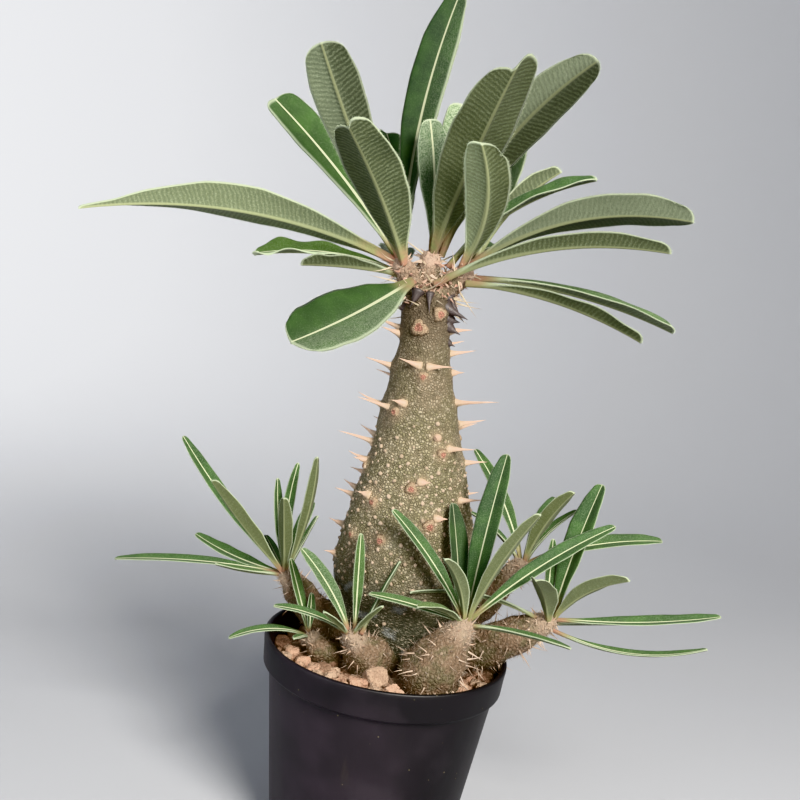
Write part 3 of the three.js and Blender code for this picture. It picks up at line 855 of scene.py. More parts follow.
class NodeTree:
    """A Geometry Nodes tree that is built in the script and run on carrier meshes.

    It has one input for each field of its recipe. The recipe's "lengths" are the fields in millimetres.
    """

    tone_salt: ClassVar[int] = 0

    def __init__(self, name: str, recipe: type) -> None:
        """Starts the tree.

        Args:
            name: the tree's name.
            recipe: the dataclass whose fields it takes.
        """
        self.tree = bpy.data.node_groups.new(name, "GeometryNodeTree")
        self.identifiers: dict[str, str] = {}
        self.tree.interface.new_socket("Carrier", in_out="INPUT", socket_type="NodeSocketGeometry")
        kinds = {entry.name: "Int" if entry.type is int else "Float" for entry in fields(recipe)}
        for label, kind in {**kinds, "finish": "Material"}.items():
            socket = self.tree.interface.new_socket(label, in_out="INPUT", socket_type="NodeSocket" + kind)
            self.identifiers[label] = socket.identifier
        self.tree.interface.new_socket("Result", in_out="OUTPUT", socket_type="NodeSocketGeometry")
        self.entry = self.tree.nodes.new("NodeGroupInput")
        self.exit = self.tree.nodes.new("NodeGroupOutput")

    def node(self, kind: str, settings: dict[str, Any], sockets: dict[str | int, Any]) -> bpy.types.Node:
        """Adds a node.

        Args:
            kind: the node's type.
            settings: its settings, set first.
            sockets: values or output sockets by input name or number.

        Returns:
            The node.
        """
        added = self.tree.nodes.new(kind)
        for setting, value in settings.items():
            setattr(added, setting, value)
        for socket, value in sockets.items():
            if isinstance(value, bpy.types.NodeSocket):
                self.tree.links.new(value, added.inputs[socket])
            else:
                added.inputs[socket].default_value = value
        return added

    def given(self, label: str) -> bpy.types.NodeSocket:
        """The group input of that name."""
        return self.entry.outputs[label]

    def dice(self, low: Any, high: Any, salt: int) -> bpy.types.NodeSocket:
        """A random number for each point, between low and high."""
        sockets = {2: low, 3: high, "Seed": salt}
        return self.node("FunctionNodeRandomValue", {"data_type": "FLOAT"}, sockets).outputs[1]

    def turned(self, rotation: bpy.types.NodeSocket, lean: Any, salt: int) -> bpy.types.NodeSocket:
        """A rotation spun freely about its own axis, then leaned over at random.

        Args:
            rotation: the rotation to start from.
            lean: the largest lean in radians.
            salt: seed of the random numbers.

        Returns:
            The new rotation.
        """
        spin = self.node("ShaderNodeCombineXYZ", {}, {"Z": self.dice(0.0, 2 * math.pi, salt)})
        tilt = self.node("ShaderNodeCombineXYZ", {}, {"X": self.dice(0.0, lean, salt + 1)})
        for part in (spin, tilt):
            by = self.node("FunctionNodeEulerToRotation", {}, {"Euler": part.outputs[0]}).outputs[0]
            settings = {"rotation_space": "LOCAL"}
            rotation = self.node("FunctionNodeRotateRotation", settings, {0: rotation, 1: by}).outputs[0]
        return rotation

    def maths(self, operation: str, one: Any, other: Any) -> bpy.types.NodeSocket:
        """The result of one Math node."""
        return self.node("ShaderNodeMath", {"operation": operation}, {0: one, 1: other}).outputs[0]

    def vectors(self, operation: str, sockets: dict[str | int, Any]) -> bpy.types.NodeSocket:
        """The result of one Vector Math node."""
        return self.node("ShaderNodeVectorMath", {"operation": operation}, sockets).outputs[0]

    def where(self) -> bpy.types.NodeSocket:
        """Each point's position."""
        return self.node("GeometryNodeInputPosition", {}, {}).outputs[0]

    def carried(self, name: str) -> bpy.types.NodeSocket:
        """A value marked on the carrier."""
        settings = {"data_type": "FLOAT"}
        return self.node("GeometryNodeInputNamedAttribute", settings, {"Name": name}).outputs[0]

    def placed(self, spots: bpy.types.Node, sockets: dict[str | int, Any]) -> bpy.types.NodeSocket:
        """Real copies on distributed points, each with a random mark "strand".

        Args:
            spots: the node that distributes the points.
            sockets: what is placed there, its rotation and its scale.

        Returns:
            The copies as one mesh.
        """
        sockets = {"Points": spots.outputs["Points"], **sockets}
        copies = self.node("GeometryNodeInstanceOnPoints", {}, sockets).outputs[0]
        toned = self.marked(copies, "strand", self.dice(0.0, 1.0, self.tone_salt), "INSTANCE")
        return self.node("GeometryNodeRealizeInstances", {}, {"Geometry": toned}).outputs[0]

    def marked(
        self, geometry: bpy.types.NodeSocket, name: str, value: Any, domain: str
    ) -> bpy.types.NodeSocket:
        """Geometry with a named value stored on it."""
        settings = {"data_type": "FLOAT", "domain": domain}
        sockets = {"Geometry": geometry, "Name": name, "Value": value}
        return self.node("GeometryNodeStoreNamedAttribute", settings, sockets).outputs[0]

    def close(self, geometry: bpy.types.NodeSocket) -> None:
        """Ends the tree with its finish set on the geometry."""
        sockets = {"Geometry": geometry, "Material": self.given("finish")}
        shaded = self.node("GeometryNodeSetMaterial", {}, sockets)
        self.tree.links.new(shaded.outputs[0], self.exit.inputs[0])

    def run(
        self, carrier: bpy.types.Object, name: str, recipe: Coat | Scatter, finish: bpy.types.Material
    ) -> bpy.types.Object:
        """Grows the result on a carrier, which is used up.

        Args:
            carrier: the object that the tree works on.
            name: the result's name.
            recipe: values for the tree's inputs.
            finish: the result's material.

        Returns:
            A plain mesh object.
        """
        modifier = carrier.modifiers.new("grow", "NODES")
        modifier.node_group = self.tree
        for entry in fields(recipe):
            value = getattr(recipe, entry.name)
            scale = MM if entry.name in recipe.lengths else 1
            modifier[self.identifiers[entry.name]] = entry.type(value * scale)
        modifier[self.identifiers["finish"]] = finish
        return plain_mesh(carrier, name)


class StrandTree(NodeTree):
    """Stands tapering, bent strands on a carrier's faces, more where its mark "hairy" is higher."""

    tone_salt: ClassVar[int] = 31

    def __init__(self) -> None:
        """Builds the tree."""
        super().__init__("strands", Coat)
        per_metre = self.maths("MULTIPLY", self.given("density"), 1 / (MM * MM))
        density = self.maths("MULTIPLY", per_metre, self.carried("hairy"))
        settings = {"distribute_method": "RANDOM"}
        sockets = {"Mesh": self.given("Carrier"), "Density": density, "Seed": self.given("seed")}
        spots = self.node("GeometryNodeDistributePointsOnFaces", settings, sockets)
        sockets = {
            "Instance": self._strand(),
            "Rotation": self.turned(spots.outputs["Rotation"], self.given("lean"), 11),
            "Scale": self.dice(self.given("shortest"), self.given("longest"), 21),
        }
        self.close(self.placed(spots, sockets))

    def _strand(self) -> bpy.types.NodeSocket:
        """One strand of length one along Z, bent over towards X."""
        sockets = {
            "Vertices": self.given("sides"),
            "Side Segments": self.given("rows"),
            "Radius Top": 0.0,
            "Radius Bottom": self.given("slimness"),
            "Depth": 1.0,
        }
        cone = self.node("GeometryNodeMeshCone", {"fill_type": "NGON"}, sockets)
        height = self.node("ShaderNodeSeparateXYZ", {}, {"Vector": self.where()}).outputs["Z"]
        bent = self.maths("MULTIPLY", self.maths("MULTIPLY", height, height), self.given("bend"))
        offset = self.node("ShaderNodeCombineXYZ", {}, {"X": bent})
        marked = self.marked(cone.outputs["Mesh"], "reach", height, "POINT")
        sockets = {"Geometry": marked, "Offset": offset.outputs[0]}
        return self.node("GeometryNodeSetPosition", {}, sockets).outputs[0]


class StoneTree(NodeTree):
    """Scatters rounded stones on a carrier without crowding, where its mark "open" is 1."""

    tone_salt: ClassVar[int] = 46

    def __init__(self) -> None:
        """Builds the tree."""
        super().__init__("stones", Scatter)
        sockets = {
            "Mesh": self.given("Carrier"),
            "Distance Min": self.given("spacing"),
            "Density Max": 0.2 / (MM * MM),
            "Density Factor": self.carried("open"),
            "Seed": self.given("seed"),
        }
        spots = self.node("GeometryNodeDistributePointsOnFaces", {"distribute_method": "POISSON"}, sockets)
        size = self.dice(self.given("smallest"), self.given("largest"), 41)
        squash = self.node("ShaderNodeCombineXYZ", {}, {"X": 1.0, "Y": self.dice(0.7, 1.0, 42), "Z": 0.8})
        sockets = {
            "Instance": self._block(),
            "Rotation": self.turned(spots.outputs["Rotation"], math.pi, 43),
            "Scale": self.vectors("SCALE", {0: squash.outputs[0], "Scale": size}),
        }
        self.close(self._worn(self.placed(spots, sockets)))

    def _block(self) -> bpy.types.NodeSocket:
        """A block one across with its corners rounded off."""
        cuts = {f"Vertices {axis}": self.given("cuts") for axis in "XYZ"}
        cube = self.node("GeometryNodeMeshCube", {}, {"Size": (1, 1, 1), **cuts})
        corner = self.where()
        ball = self.vectors("SCALE", {0: self.vectors("NORMALIZE", {0: corner}), "Scale": 0.55})
        sockets = {0: self.given("roundness"), 4: corner, 5: ball}
        rounded = self.node("ShaderNodeMix", {"data_type": "VECTOR"}, sockets).outputs[1]
        sockets = {"Geometry": cube.outputs["Mesh"], "Position": rounded}
        return self.node("GeometryNodeSetPosition", {}, sockets).outputs[0]

    def _worn(self, stones: bpy.types.NodeSocket) -> bpy.types.NodeSocket:
        """Stones with lumps and hollows that differ from stone to stone."""
        scale = self.maths("DIVIDE", 1.0, self.given("lump"))
        sockets = {"Vector": self.where(), "Scale": scale, "Detail": 1.0}
        dents = self.node("ShaderNodeTexNoise", {}, sockets).outputs["Color"]
        middle = self.vectors("SUBTRACT", {0: dents, 1: (0.5, 0.5, 0.5)})
        offset = self.vectors("SCALE", {0: middle, "Scale": self.given("roughness")})
        return self.node("GeometryNodeSetPosition", {}, {"Geometry": stones, "Offset": offset}).outputs[0]


# Leaves


class Blade(Enum):
    """Outlines of leaves: shares of the full width by length, and how long the rounded end is."""

    BROAD = (((0, 0.13), (0.12, 0.18), (0.3, 0.5), (0.48, 0.86), (0.66, 1), (0.82, 0.94), (1, 0.66)), 0.085)
    BLUNT = (((0, 0.13), (0.12, 0.18), (0.3, 0.44), (0.5, 0.78), (0.7, 0.98), (0.85, 1), (1, 0.84)), 0.07)
    OVAL = (((0, 0.13), (0.12, 0.26), (0.3, 0.68), (0.5, 0.95), (0.68, 1), (0.84, 0.93), (1, 0.68)), 0.085)
    TAPERING = (
        ((0, 0.15), (0.12, 0.3), (0.3, 0.74), (0.45, 1), (0.62, 0.93), (0.8, 0.5), (0.9, 0.2), (1, 0.1)),
        0.04,
    )
    STRAP = (((0, 0.16), (0.16, 0.42), (0.4, 0.92), (0.66, 1), (0.88, 0.78), (1, 0.5)), 0.05)


class Grain(Enum):
    """How finely a leaf is meshed: the step along it in millimetres and the shares of its half width."""

    CROWN = (0.42, (0, 0.06, 0.13, 0.24, 0.42, 0.6, 0.78, 0.91, 1))
    TUFT = (0.9, (0, 0.12, 0.3, 0.6, 0.88, 1))


@dataclass
class Leaf:
    """One folded leaf, placed by the same rule as its CAD solid.

    Its sides can differ: a "bias" field adds to the left side of its heading and takes from the right. At
    its tip, "notch" cuts in at the midrib, a "lobe" below 0 lengthens the left side, and "slant" cuts the
    tip off aslant. "tone" makes all colours lighter or darker, as painted light and shade set leaf by leaf,
    and its bias paints one half lighter and the other darker. The bias of "frost" makes one half more
    silvery, partly the felt and partly painted light. "lamina", "rib_depth", "rib_width" and
    "margin" are in millimetres, and so is "ridge_height", the height of the ridges where "ridge" is 1.
    """

    start: Point
    around: float
    rise: float
    reach: float
    width: float
    arch: float = 0.0
    sway: float = 0.0
    roll: float = 0.0
    fold: float = 30.0
    blade: Blade = Blade.BROAD
    root: float = 1.5
    fold_gain: float = 0.0
    olive: float = 0.2
    frost: float = 0.12
    # Partly the felt's silver and partly painted light: one half is made more silvery than the other
    frost_bias: float = 0.0
    # Painted light and shade: tone lightens or darkens the whole leaf, and its bias one half against the
    # other
    tone: float = 1.0
    tone_bias: float = 0.0
    notch: float = 0.0
    lobe: float = 0.0
    slant: float = 0.0
    wave: float = 0.05
    grain: Grain = Grain.CROWN
    lamina: float = 0.62
    rib_depth: float = 1.15
    rib_width: float = 0.95
    ridge: float = 0.6
    ridge_height: float = 0.11
    ridge_spacing: float = 1.7
    ridge_slant: float = 0.35
    crease: float = 0.12
    margin: float = 0.65
    margin_bias: float = 0.0
    midrib: float = 0.62
    hairs_from: ClassVar[float] = 0.16

    def _bezier(self, t: np.ndarray) -> tuple[np.ndarray, np.ndarray]:
        """Points and unit tangents of the midline at shares t of its length."""
        heading, left = direction(self.around, self.rise), direction(self.around + 90)
        up = np.cross(heading, left)
        start = np.array(self.start, float)
        base, tip = start + heading * self.root, start + heading * self.reach
        bow = (base + tip) / 2 + up * 2 * self.arch + left * 2 * self.sway
        s = t[..., None]
        points = (1 - s) ** 2 * base + 2 * s * (1 - s) * bow + s**2 * tip
        return points, unit(2 * (1 - s) * (bow - base) + 2 * s * (tip - bow))

    def _grid(self) -> tuple[np.ndarray, np.ndarray, dict[str, np.ndarray]]:
        """Upper and under surface points by row and column, and their marks."""
        step, halves = self.grain.value
        outline, end = self.blade.value
        length = self.reach - self.root
        # t runs from base to tip and u from the right margin, -1, to the left one, 1
        t = np.linspace(0, 1, max(20, round(length / step)) + 1)[:, None]
        u = np.array([-share for share in halves[:0:-1]] + list(halves))[None, :]
        notched = self.notch * np.exp(-(((u - 0.05) / 0.16) ** 2))
        rounding = end * (1 - np.sqrt(1 - 0.985 * u**2)) + notched
        rounding = rounding + self.lobe * smooth_step(-0.15, 0.15, u)
        places = t - t**9 * rounding - t**3 * self.slant * (1 + u) / 2
        points, along = self._bezier(places)
        left = direction(self.around + 90)
        side = unit(left - (along @ left)[..., None] * along)
        over = np.cross(along, side)
        roll = math.radians(self.roll)
        side = side * math.cos(roll) + over * math.sin(roll)
        over = np.cross(along, side)

        half = self.width * eased(outline, t) / 2
        lift = np.radians((self.fold + self.fold_gain * t) * np.minimum(1, 0.3 + 2.5 * t))
        out = u * half * np.cos(lift)
        ripple = np.sin(t * 19 + np.sign(u) * 1.3 + self.reach) * t * self.wave
        steepest = math.sqrt(1 + self.crease**2) - self.crease
        valley = (np.sqrt(u**2 + self.crease**2) - self.crease) / steepest
        curl = 0.09 * (np.abs(u) - u**2) - 0.07 * u**4 + ripple * u**2
        high = valley * half * np.sin(lift) + half * curl
        groove = 0.14 * np.exp(-((out / 0.5) ** 2))
        warp = 1.5 * lumps(np.stack([places * length, 2 * out, 0 * out], axis=-1), 6.0, int(self.reach))
        phase = (places * length - self.ridge_slant * np.abs(out)) * (2 * math.pi / self.ridge_spacing)
        phase = phase + warp
        calm = smooth_step(0.7, 2.2, np.abs(out)) * smooth_step(0.0, 0.18, 1 - np.abs(u))
        calm = calm * smooth_step(0.12, 0.3, t)
        ridges = self.ridge_height * self.ridge * np.sin(phase) * calm
        slim = 1.15 - 0.75 * t + 0.5 * (1 - smooth_step(0.0, 0.16, t))
        rib = self.rib_depth * slim * np.exp(-((out / (self.rib_width * slim + 0.05)) ** 2))
        body = self.lamina * (1 - 0.25 * t) + np.zeros_like(out)
        top = points + side * out[..., None] + over * (high + groove + 0.1 * ridges)[..., None]
        below = points + side * out[..., None] + over * (high - body - rib - ridges)[..., None]
        margin = points + side * out[..., None] * 1.015 + over * (high - body / 2)[..., None]
        top[:, [0, -1]] = margin[:, [0, -1]]
        edge = np.minimum((1 - np.abs(u)) * half, (1 - t) * length * 0.7 + 0.05)
        bias = np.tanh(5 * u) + 0 * t
        marks = {
            "vein": phase,
            "rib": np.abs(out) / (self.midrib * (1.05 - 0.7 * t)),
            "edge": edge / (self.margin * (1 + self.margin_bias * bias)),
            "share": t + np.zeros_like(out),
            "veined": np.full(out.shape, self.ridge),
            "olive": np.full(out.shape, self.olive),
            # Silver felt, which on one half is partly painted light
            "frost": np.clip(self.frost + self.frost_bias * bias, 0, 1),
            # Painted light and shade, for the whole leaf and for each half
            "tone": self.tone * (1 + self.tone_bias * bias),
        }
        return top, below, marks

    def form(self) -> Form:
        """The closed leaf with the marks that LeafFelt reads."""
        top, below, marks = self._grid()
        rows, columns = top.shape[:2]
        inner = slice(columns - 2, 0, -1)
        rings = np.concatenate([top, below[:, inner]], axis=1)
        size = rings.shape[1]
        faces = bands(rows, size)
        for row, flip in ((0, False), (rows - 1, True)):
            for j in range(columns - 1):
                corners = dict.fromkeys((j, j + 1, size - j - 1, (size - j) % size))
                face = tuple(row * size + corner for corner in corners)
                faces.append(face[::-1] if flip else face)
        ringed = {mark: np.concatenate([v, v[:, inner]], axis=1).ravel() for mark, v in marks.items()}
        upper = np.concatenate([np.ones((rows, columns)), np.zeros((rows, columns - 2))], axis=1)
        upper[:, [0, columns - 1]] = 0.5
        ringed["upper"] = upper.ravel()
        return Form(rings.reshape(-1, 3), faces, ringed)

    def fringe(self, band: float = 0.16) -> Form:
        """Narrow open band round the margin that faces outwards, for hairs to stand on.

        Args:
            band: half the band's width.

        Returns:
            The band, with its mark "hairy".
        """
        top, below, marks = self._grid()
        middle = (top + below) / 2
        first = int(np.searchsorted(marks["share"][:, 0], self.hairs_from))
        rows, columns = middle.shape[:2]
        path = [(i, columns - 1) for i in range(first, rows)]
        path += [(rows - 1, j) for j in range(columns - 2, 0, -1)]
        path += [(i, 0) for i in range(rows - 1, first - 1, -1)]
        inward = [(i, min(max(j, 1), columns - 2)) if i < rows - 1 else (i - 2, j) for i, j in path]
        edge = np.array([middle[place] for place in path])
        out = unit(edge - np.array([middle[place] for place in inward]))
        travel = unit(np.gradient(edge, axis=0))
        across = unit(np.cross(travel, out)) * band
        points = np.stack([edge + across, edge - across], axis=1).reshape(-1, 3)
        faces = [(2 * i, 2 * i + 2, 2 * i + 3, 2 * i + 1) for i in range(len(path) - 1)]
        return Form(points, faces, {"hairy": np.ones(len(points))})


def crown_leaves() -> list[Leaf]:
    """The 25 crown leaves in the order of their CAD nodes."""
    left, left_foot = (-17, 8, 228), (-15, 9, 224)
    middle, right = (-6, 9, 232), (6, 8, 229)
    blunt, oval, tapering = Blade.BLUNT, Blade.OVAL, Blade.TAPERING
    # tone and its bias are painted light and shade; the bias of frost is partly painted light
    return [
        Leaf(left, -174, 1, 122, 21, 9, roll=46, fold=14, fold_gain=30, blade=tapering, olive=0.4,
             frost=0.25, tone=1.3),
        Leaf(left, -148, 58, 85, 19, -1, roll=55, fold=12, blade=blunt, olive=0.1, frost=0.2,
             frost_bias=-0.15, ridge=0.9, tone=0.85, tone_bias=-0.25, crease=0.4),
        Leaf(left, 150, 38, 91, 18, 2, sway=-1, roll=-38, fold=24, blade=blunt, olive=0.3, frost=0.08,
             margin_bias=0.6, margin=1.0),
        Leaf((-15, 6, 227), -117, 40, 69, 23, 2, roll=12, fold=18, blade=oval, olive=0.55, notch=0.03,
             lobe=-0.045, ridge=1.0, tone=0.95, tone_bias=0.2),
        Leaf(left, 77, 75, 110, 17, sway=4.7, fold=24, olive=0.05, frost=0.16, frost_bias=-0.12, margin=0.9,
             margin_bias=-0.6, tone=0.6, tone_bias=-0.15),
        Leaf((-15, 12, 227), 117, 53, 63, 14, 4, fold=30, blade=blunt, olive=0.1, frost=0.1),
        Leaf(middle, 160, 80, 51, 14, 2, 1, roll=-60, fold=22, olive=0.0, frost=0.75, tone=1.2),
        Leaf(middle, -63, 58, 79, 25, 2, fold=14, blade=oval, olive=0.6, notch=0.03, lobe=-0.09,
             ridge=0.7, tone=0.72),
        Leaf((-3, 9, 231), -27, 57, 92, 19, 8, roll=-52, fold=16, olive=0.35, frost=0.35, frost_bias=-0.3,
             ridge=0.8, tone=0.55, tone_bias=-0.2),
        Leaf((-4, 12, 230), 88, 76, 63, 13, 2, fold=25, blade=blunt, frost=0.85, tone=1.2),
        Leaf(right, -92, 50, 60, 18, sway=6, roll=8, fold=26, blade=oval, olive=0.6, frost=0.2,
             frost_bias=-0.15, ridge=0.7, slant=0.08, tone=1.15, tone_bias=-0.3),
        Leaf((7, 12, 228), 59, 68, 60, 17, sway=-4, fold=24, blade=blunt, olive=0.3, frost=0.3, tone=0.75),
        Leaf((9, 11, 229), 9, 55, 51, 13, 4, roll=-40, fold=28, olive=0.35, frost=0.25, ridge=0.8),
        Leaf((-1, 9, 228), -13, 38, 66, 11, 6, roll=25, fold=28, olive=0.15, wave=0.12),
        Leaf(right, -10, 20, 87, 18, 9, roll=-46, fold=26, olive=0.15, frost=0.4, frost_bias=-0.15,
             tone=0.72),
        Leaf((-5, 2, 222), -10, 16, 89, 13, 7, roll=-25, fold=34, olive=0.55, frost=0.12, tone=0.75),
        Leaf((9, 9, 227), 4, -7, 83, 13, 4, roll=8, fold=30, blade=blunt, olive=0.3, frost=0.3),
        Leaf((7, 4, 225), -7, -10, 71, 12, 4, roll=-10, fold=34, olive=0.75, wave=0.1, tone=0.75),
        Leaf((-10, 2, 223), -135, -26, 61, 25, -1.5, roll=-32, fold=16, blade=oval, olive=0.25, frost=0.25,
             frost_bias=0.25, margin=0.9, margin_bias=0.5, tone=0.7, tone_bias=0.05),
        Leaf(left_foot, 168, -2, 62, 13, 4, roll=-25, fold=28, blade=blunt, olive=0.8, wave=0.25, tone=1.5,
             margin=1.2, margin_bias=0.7),
        Leaf(left_foot, -166, -3, 40, 11, 1, roll=25, fold=30, olive=0.55, wave=0.15, tone=0.75),
        Leaf((-19, 12, 228), 96, 42, 46, 11, 3),
        Leaf((-4, 12, 230), 84, 22, 74, 17, 6),
        Leaf((-14, 12, 223), 100, 4, 64, 16, 4, frost=0.3),
        Leaf((7, 12, 228), 72, 9, 56, 15, 5, olive=0.4),
    ]


def tuft_leaf(start: Point, *shape: float, **looks: Any) -> Leaf:
    """A leaf of a side shoot: narrow, strap shaped and more coarsely meshed.

    Args:
        start: the point that it grows from.
        shape: heading, rise, reach and width, then arch and sway where it has them.
        looks: any other fields of the leaf.

    Returns:
        The leaf.
    """
    slim = {"blade": Blade.STRAP, "grain": Grain.TUFT, "fold": 28, "root": 1, "lamina": 0.55}
    slim |= {"rib_depth": 0.6, "rib_width": 0.55, "ridge": 0.15, "margin": 0.32, "midrib": 0.3}
    return Leaf(start, *shape, **{**slim, **looks})


# Stems


@dataclass
class Limb:
    """Round, lumpy stem through a row of knots, with domed ends."""

    knots: Sequence[tuple[float, float, float, float]]
    rows: int = 44
    columns: int = 48
    lump: float = 0.55
    seed: int = 1
    bare: float = 0.0

    def _path(self, t: np.ndarray) -> tuple[np.ndarray, np.ndarray, np.ndarray]:
        """Centres, unit tangents and radii at shares t of the row of knots."""
        knots = np.array(self.knots, float)
        padded = np.concatenate([[2 * knots[0] - knots[1]], knots, [2 * knots[-1] - knots[-2]]])
        place = t * (len(knots) - 1)
        i = np.minimum(place.astype(int), len(knots) - 2)
        s = (place - i)[:, None]
        a, b, c, d = (padded[i + k, :3] for k in range(4))
        bow, twist = 2 * a - 5 * b + 4 * c - d, 3 * b - a - 3 * c + d
        curve = 0.5 * (2 * b + (c - a) * s + bow * s**2 + twist * s**3)
        slope = (c - a) + 2 * bow * s + 3 * twist * s**2
        return curve, unit(slope), np.interp(place, np.arange(len(knots)), knots[:, 3])

    def form(self) -> Form:
        """The closed stem with the marks "reach", 0 at its root to 1 at its tip, and "hairy"."""
        shares = np.linspace(0, 1, self.rows)
        centres, along, radii = self._path(shares)
        dome = np.sin(np.radians([18, 36, 54, 72, 84]))
        caps = []
        for end, way in ((0, -1), (-1, 1)):
            middle, ahead, radius = centres[end], along[end], radii[end]
            caps.append(
                [(middle + way * ahead * radius * s, ahead, radius * math.sqrt(1 - s * s)) for s in dome]
            )
        stations = caps[0][::-1] + list(zip(centres, along, radii)) + caps[1]
        reach = np.concatenate([np.zeros(len(dome)), shares, np.ones(len(dome))])
        turns = once_round(self.columns)
        rings = []
        for centre, ahead, radius in stations:
            across = unit(np.cross([0, 1, 0], ahead))
            rings.append(centre + radius * circle(turns, across, np.cross(ahead, across)))
        grid = np.array(rings)
        middles = np.array([station[0] for station in stations])[:, None, :]
        swell = self.lump * lumps(grid, 6.0, self.seed) + 0.4 * self.lump * lumps(grid, 2.2, self.seed + 1)
        grid = grid + unit(grid - middles) * swell[..., None]
        hairy = smooth_step(self.bare, self.bare + 0.3, reach)
        start = centres[0] - along[0] * radii[0]
        end = centres[-1] + along[-1] * radii[-1]
        return Form.skinned(grid, start, end, {"reach": reach, "hairy": hairy})


@dataclass
class SpineCone:
    """One horny spine: a flared foot, a slightly bent shaft and a sharp point."""

    foot: np.ndarray
    heading: np.ndarray
    length: float
    radius: float = 0.85
    bend: float = 0.0
    age: float = 0.0
    sides: int = 9
    profile: Table = ((-1.4, 2.4), (-0.3, 1.85), (0.9, 1.3), (2.4, 0.95), (4.6, 0.7))

    def form(self) -> Form:
        """The closed spine with the marks "reach" and "age"."""
        side = unit(np.cross(self.heading, [0.0, 0.0, 1.0]))
        over = np.cross(side, self.heading)
        rows = [(s, r) for s, r in self.profile if s < self.length * 0.45]
        rows += [(self.length * share, 0.95 * (1 - share) + 0.04) for share in (0.5, 0.65, 0.8, 0.92)]
        turns, sideways = once_round(self.sides), (over * 0.6 + side) * self.bend
        rings, reach = [], []
        for ahead, girth in rows:
            share = max(0.0, ahead / self.length)
            centre = self.foot + self.heading * ahead + sideways * share**2 * self.length
            rings.append(centre + circle(turns, side, over) * girth * self.radius)
            reach.append(share)
        tip = self.foot + self.heading * self.length + sideways * self.length
        sunk = self.foot - self.heading * 1.5
        form = Form.skinned(np.array(rings), sunk, tip, {"reach": np.array(reach)})
        form.marks["age"] = np.full(len(form.points), self.age)
        return form


# Sub-assemblies


@dataclass
class Pot:
    """Thin-walled round nursery pot with an upright band below its rim and drain holes in its floor."""

    height: float = 80.0
    rim: float = 48.0
    foot: float = 36.0
    band: float = 11.0
    step: float = 1.6
    taper: float = 0.8
    wall: float = 1.4
    lip: float = 1.8
    floor: float = 1.6
    holes: int = 6
    hole_radius: float = 3.2
    hole_circle: float = 24.0
    foot_round: float = 2.0
    rim_round: float = 0.7
    columns: int = 144

    def outer(self, z: float) -> float:
        """Radius of the outer wall below the band."""
        return self.foot + (self.rim - self.step - self.foot) / self.height * z

    def inner(self, z: float) -> float:
        """Radius of the inner wall."""
        return self.outer(z) - self.wall

    def _outline(self) -> list[tuple[float, float]]:
        """Radius and height from the middle of the underside round to the middle of the floor."""
        foot_round, rim_round = self.foot_round, self.rim_round
        band_foot = self.height - self.band
        ledge = band_foot - self.step
        outline = [(0.0, 0.0), (self.foot - 8, 0.0), (self.foot - foot_round - 0.6, 0.0)]
        for bend in (math.radians(angle) for angle in (0, 30, 60, 90)):
            radius = self.foot - foot_round + foot_round * math.sin(bend) + 0.26 * (1 - math.cos(bend))
            outline.append((radius, foot_round * (1 - math.cos(bend))))
        outline += [(self.outer(z), z) for z in (4, 18, 34, 50, ledge - 1.2, ledge - 0.3)]
        outline += [(self.outer(ledge) + 0.25, ledge), (self.rim - self.taper - 0.25, band_foot - 0.35)]
        outline += [(self.rim - self.taper, band_foot), (self.rim - self.taper + 0.05, band_foot + 0.5)]
        outline += [(self.rim - 0.35, self.height - 5), (self.rim, self.height - 2.0)]
        for middle, start in ((self.rim - rim_round, 0), (self.rim - self.lip + rim_round, 90)):
            for turn in (start, start + 30, start + 60, start + 90):
                bend = math.radians(turn)
                reach = rim_round * math.cos(bend)
                outline.append((middle + reach, self.height - rim_round + rim_round * math.sin(bend)))
        outline += [(self.rim - self.lip, self.height - 2.5), (self.inner(band_foot) + 0.2, band_foot + 0.6)]
        outline += [(self.inner(z), z) for z in (band_foot, 48, 24, self.floor + 1.2)]
        corner = self.inner(self.floor)
        outline += [(corner - 0.4, self.floor + 0.3), (corner - 1.6, self.floor)]
        return outline + [(self.hole_circle, self.floor), (0.0, self.floor)]

    def build(self) -> None:
        """Builds the pot, bores its drain holes and seats it."""
        body = revolved(self._outline(), self.columns).object("pot_body", PotPlastic().material())
        drills = []
        for i in range(self.holes):
            drill = revolved([(0, -2), (self.hole_radius, -2), (self.hole_radius, 4), (0, 4)], 28)
            drill.points = drill.points + direction(360 * (i + 0.5) / self.holes) * self.hole_circle
            drills.append(drill)
        cutter = Form.joined(drills).object("drills")
        boring = body.modifiers.new("drain_holes", "BOOLEAN")
        boring.operation, boring.solver, boring.object = "DIFFERENCE", "EXACT", cutter
        pot = plain_mesh(body, "nursery_pot")
        bpy.data.objects.remove(cutter)
        seat(pot, "pot", "pot")


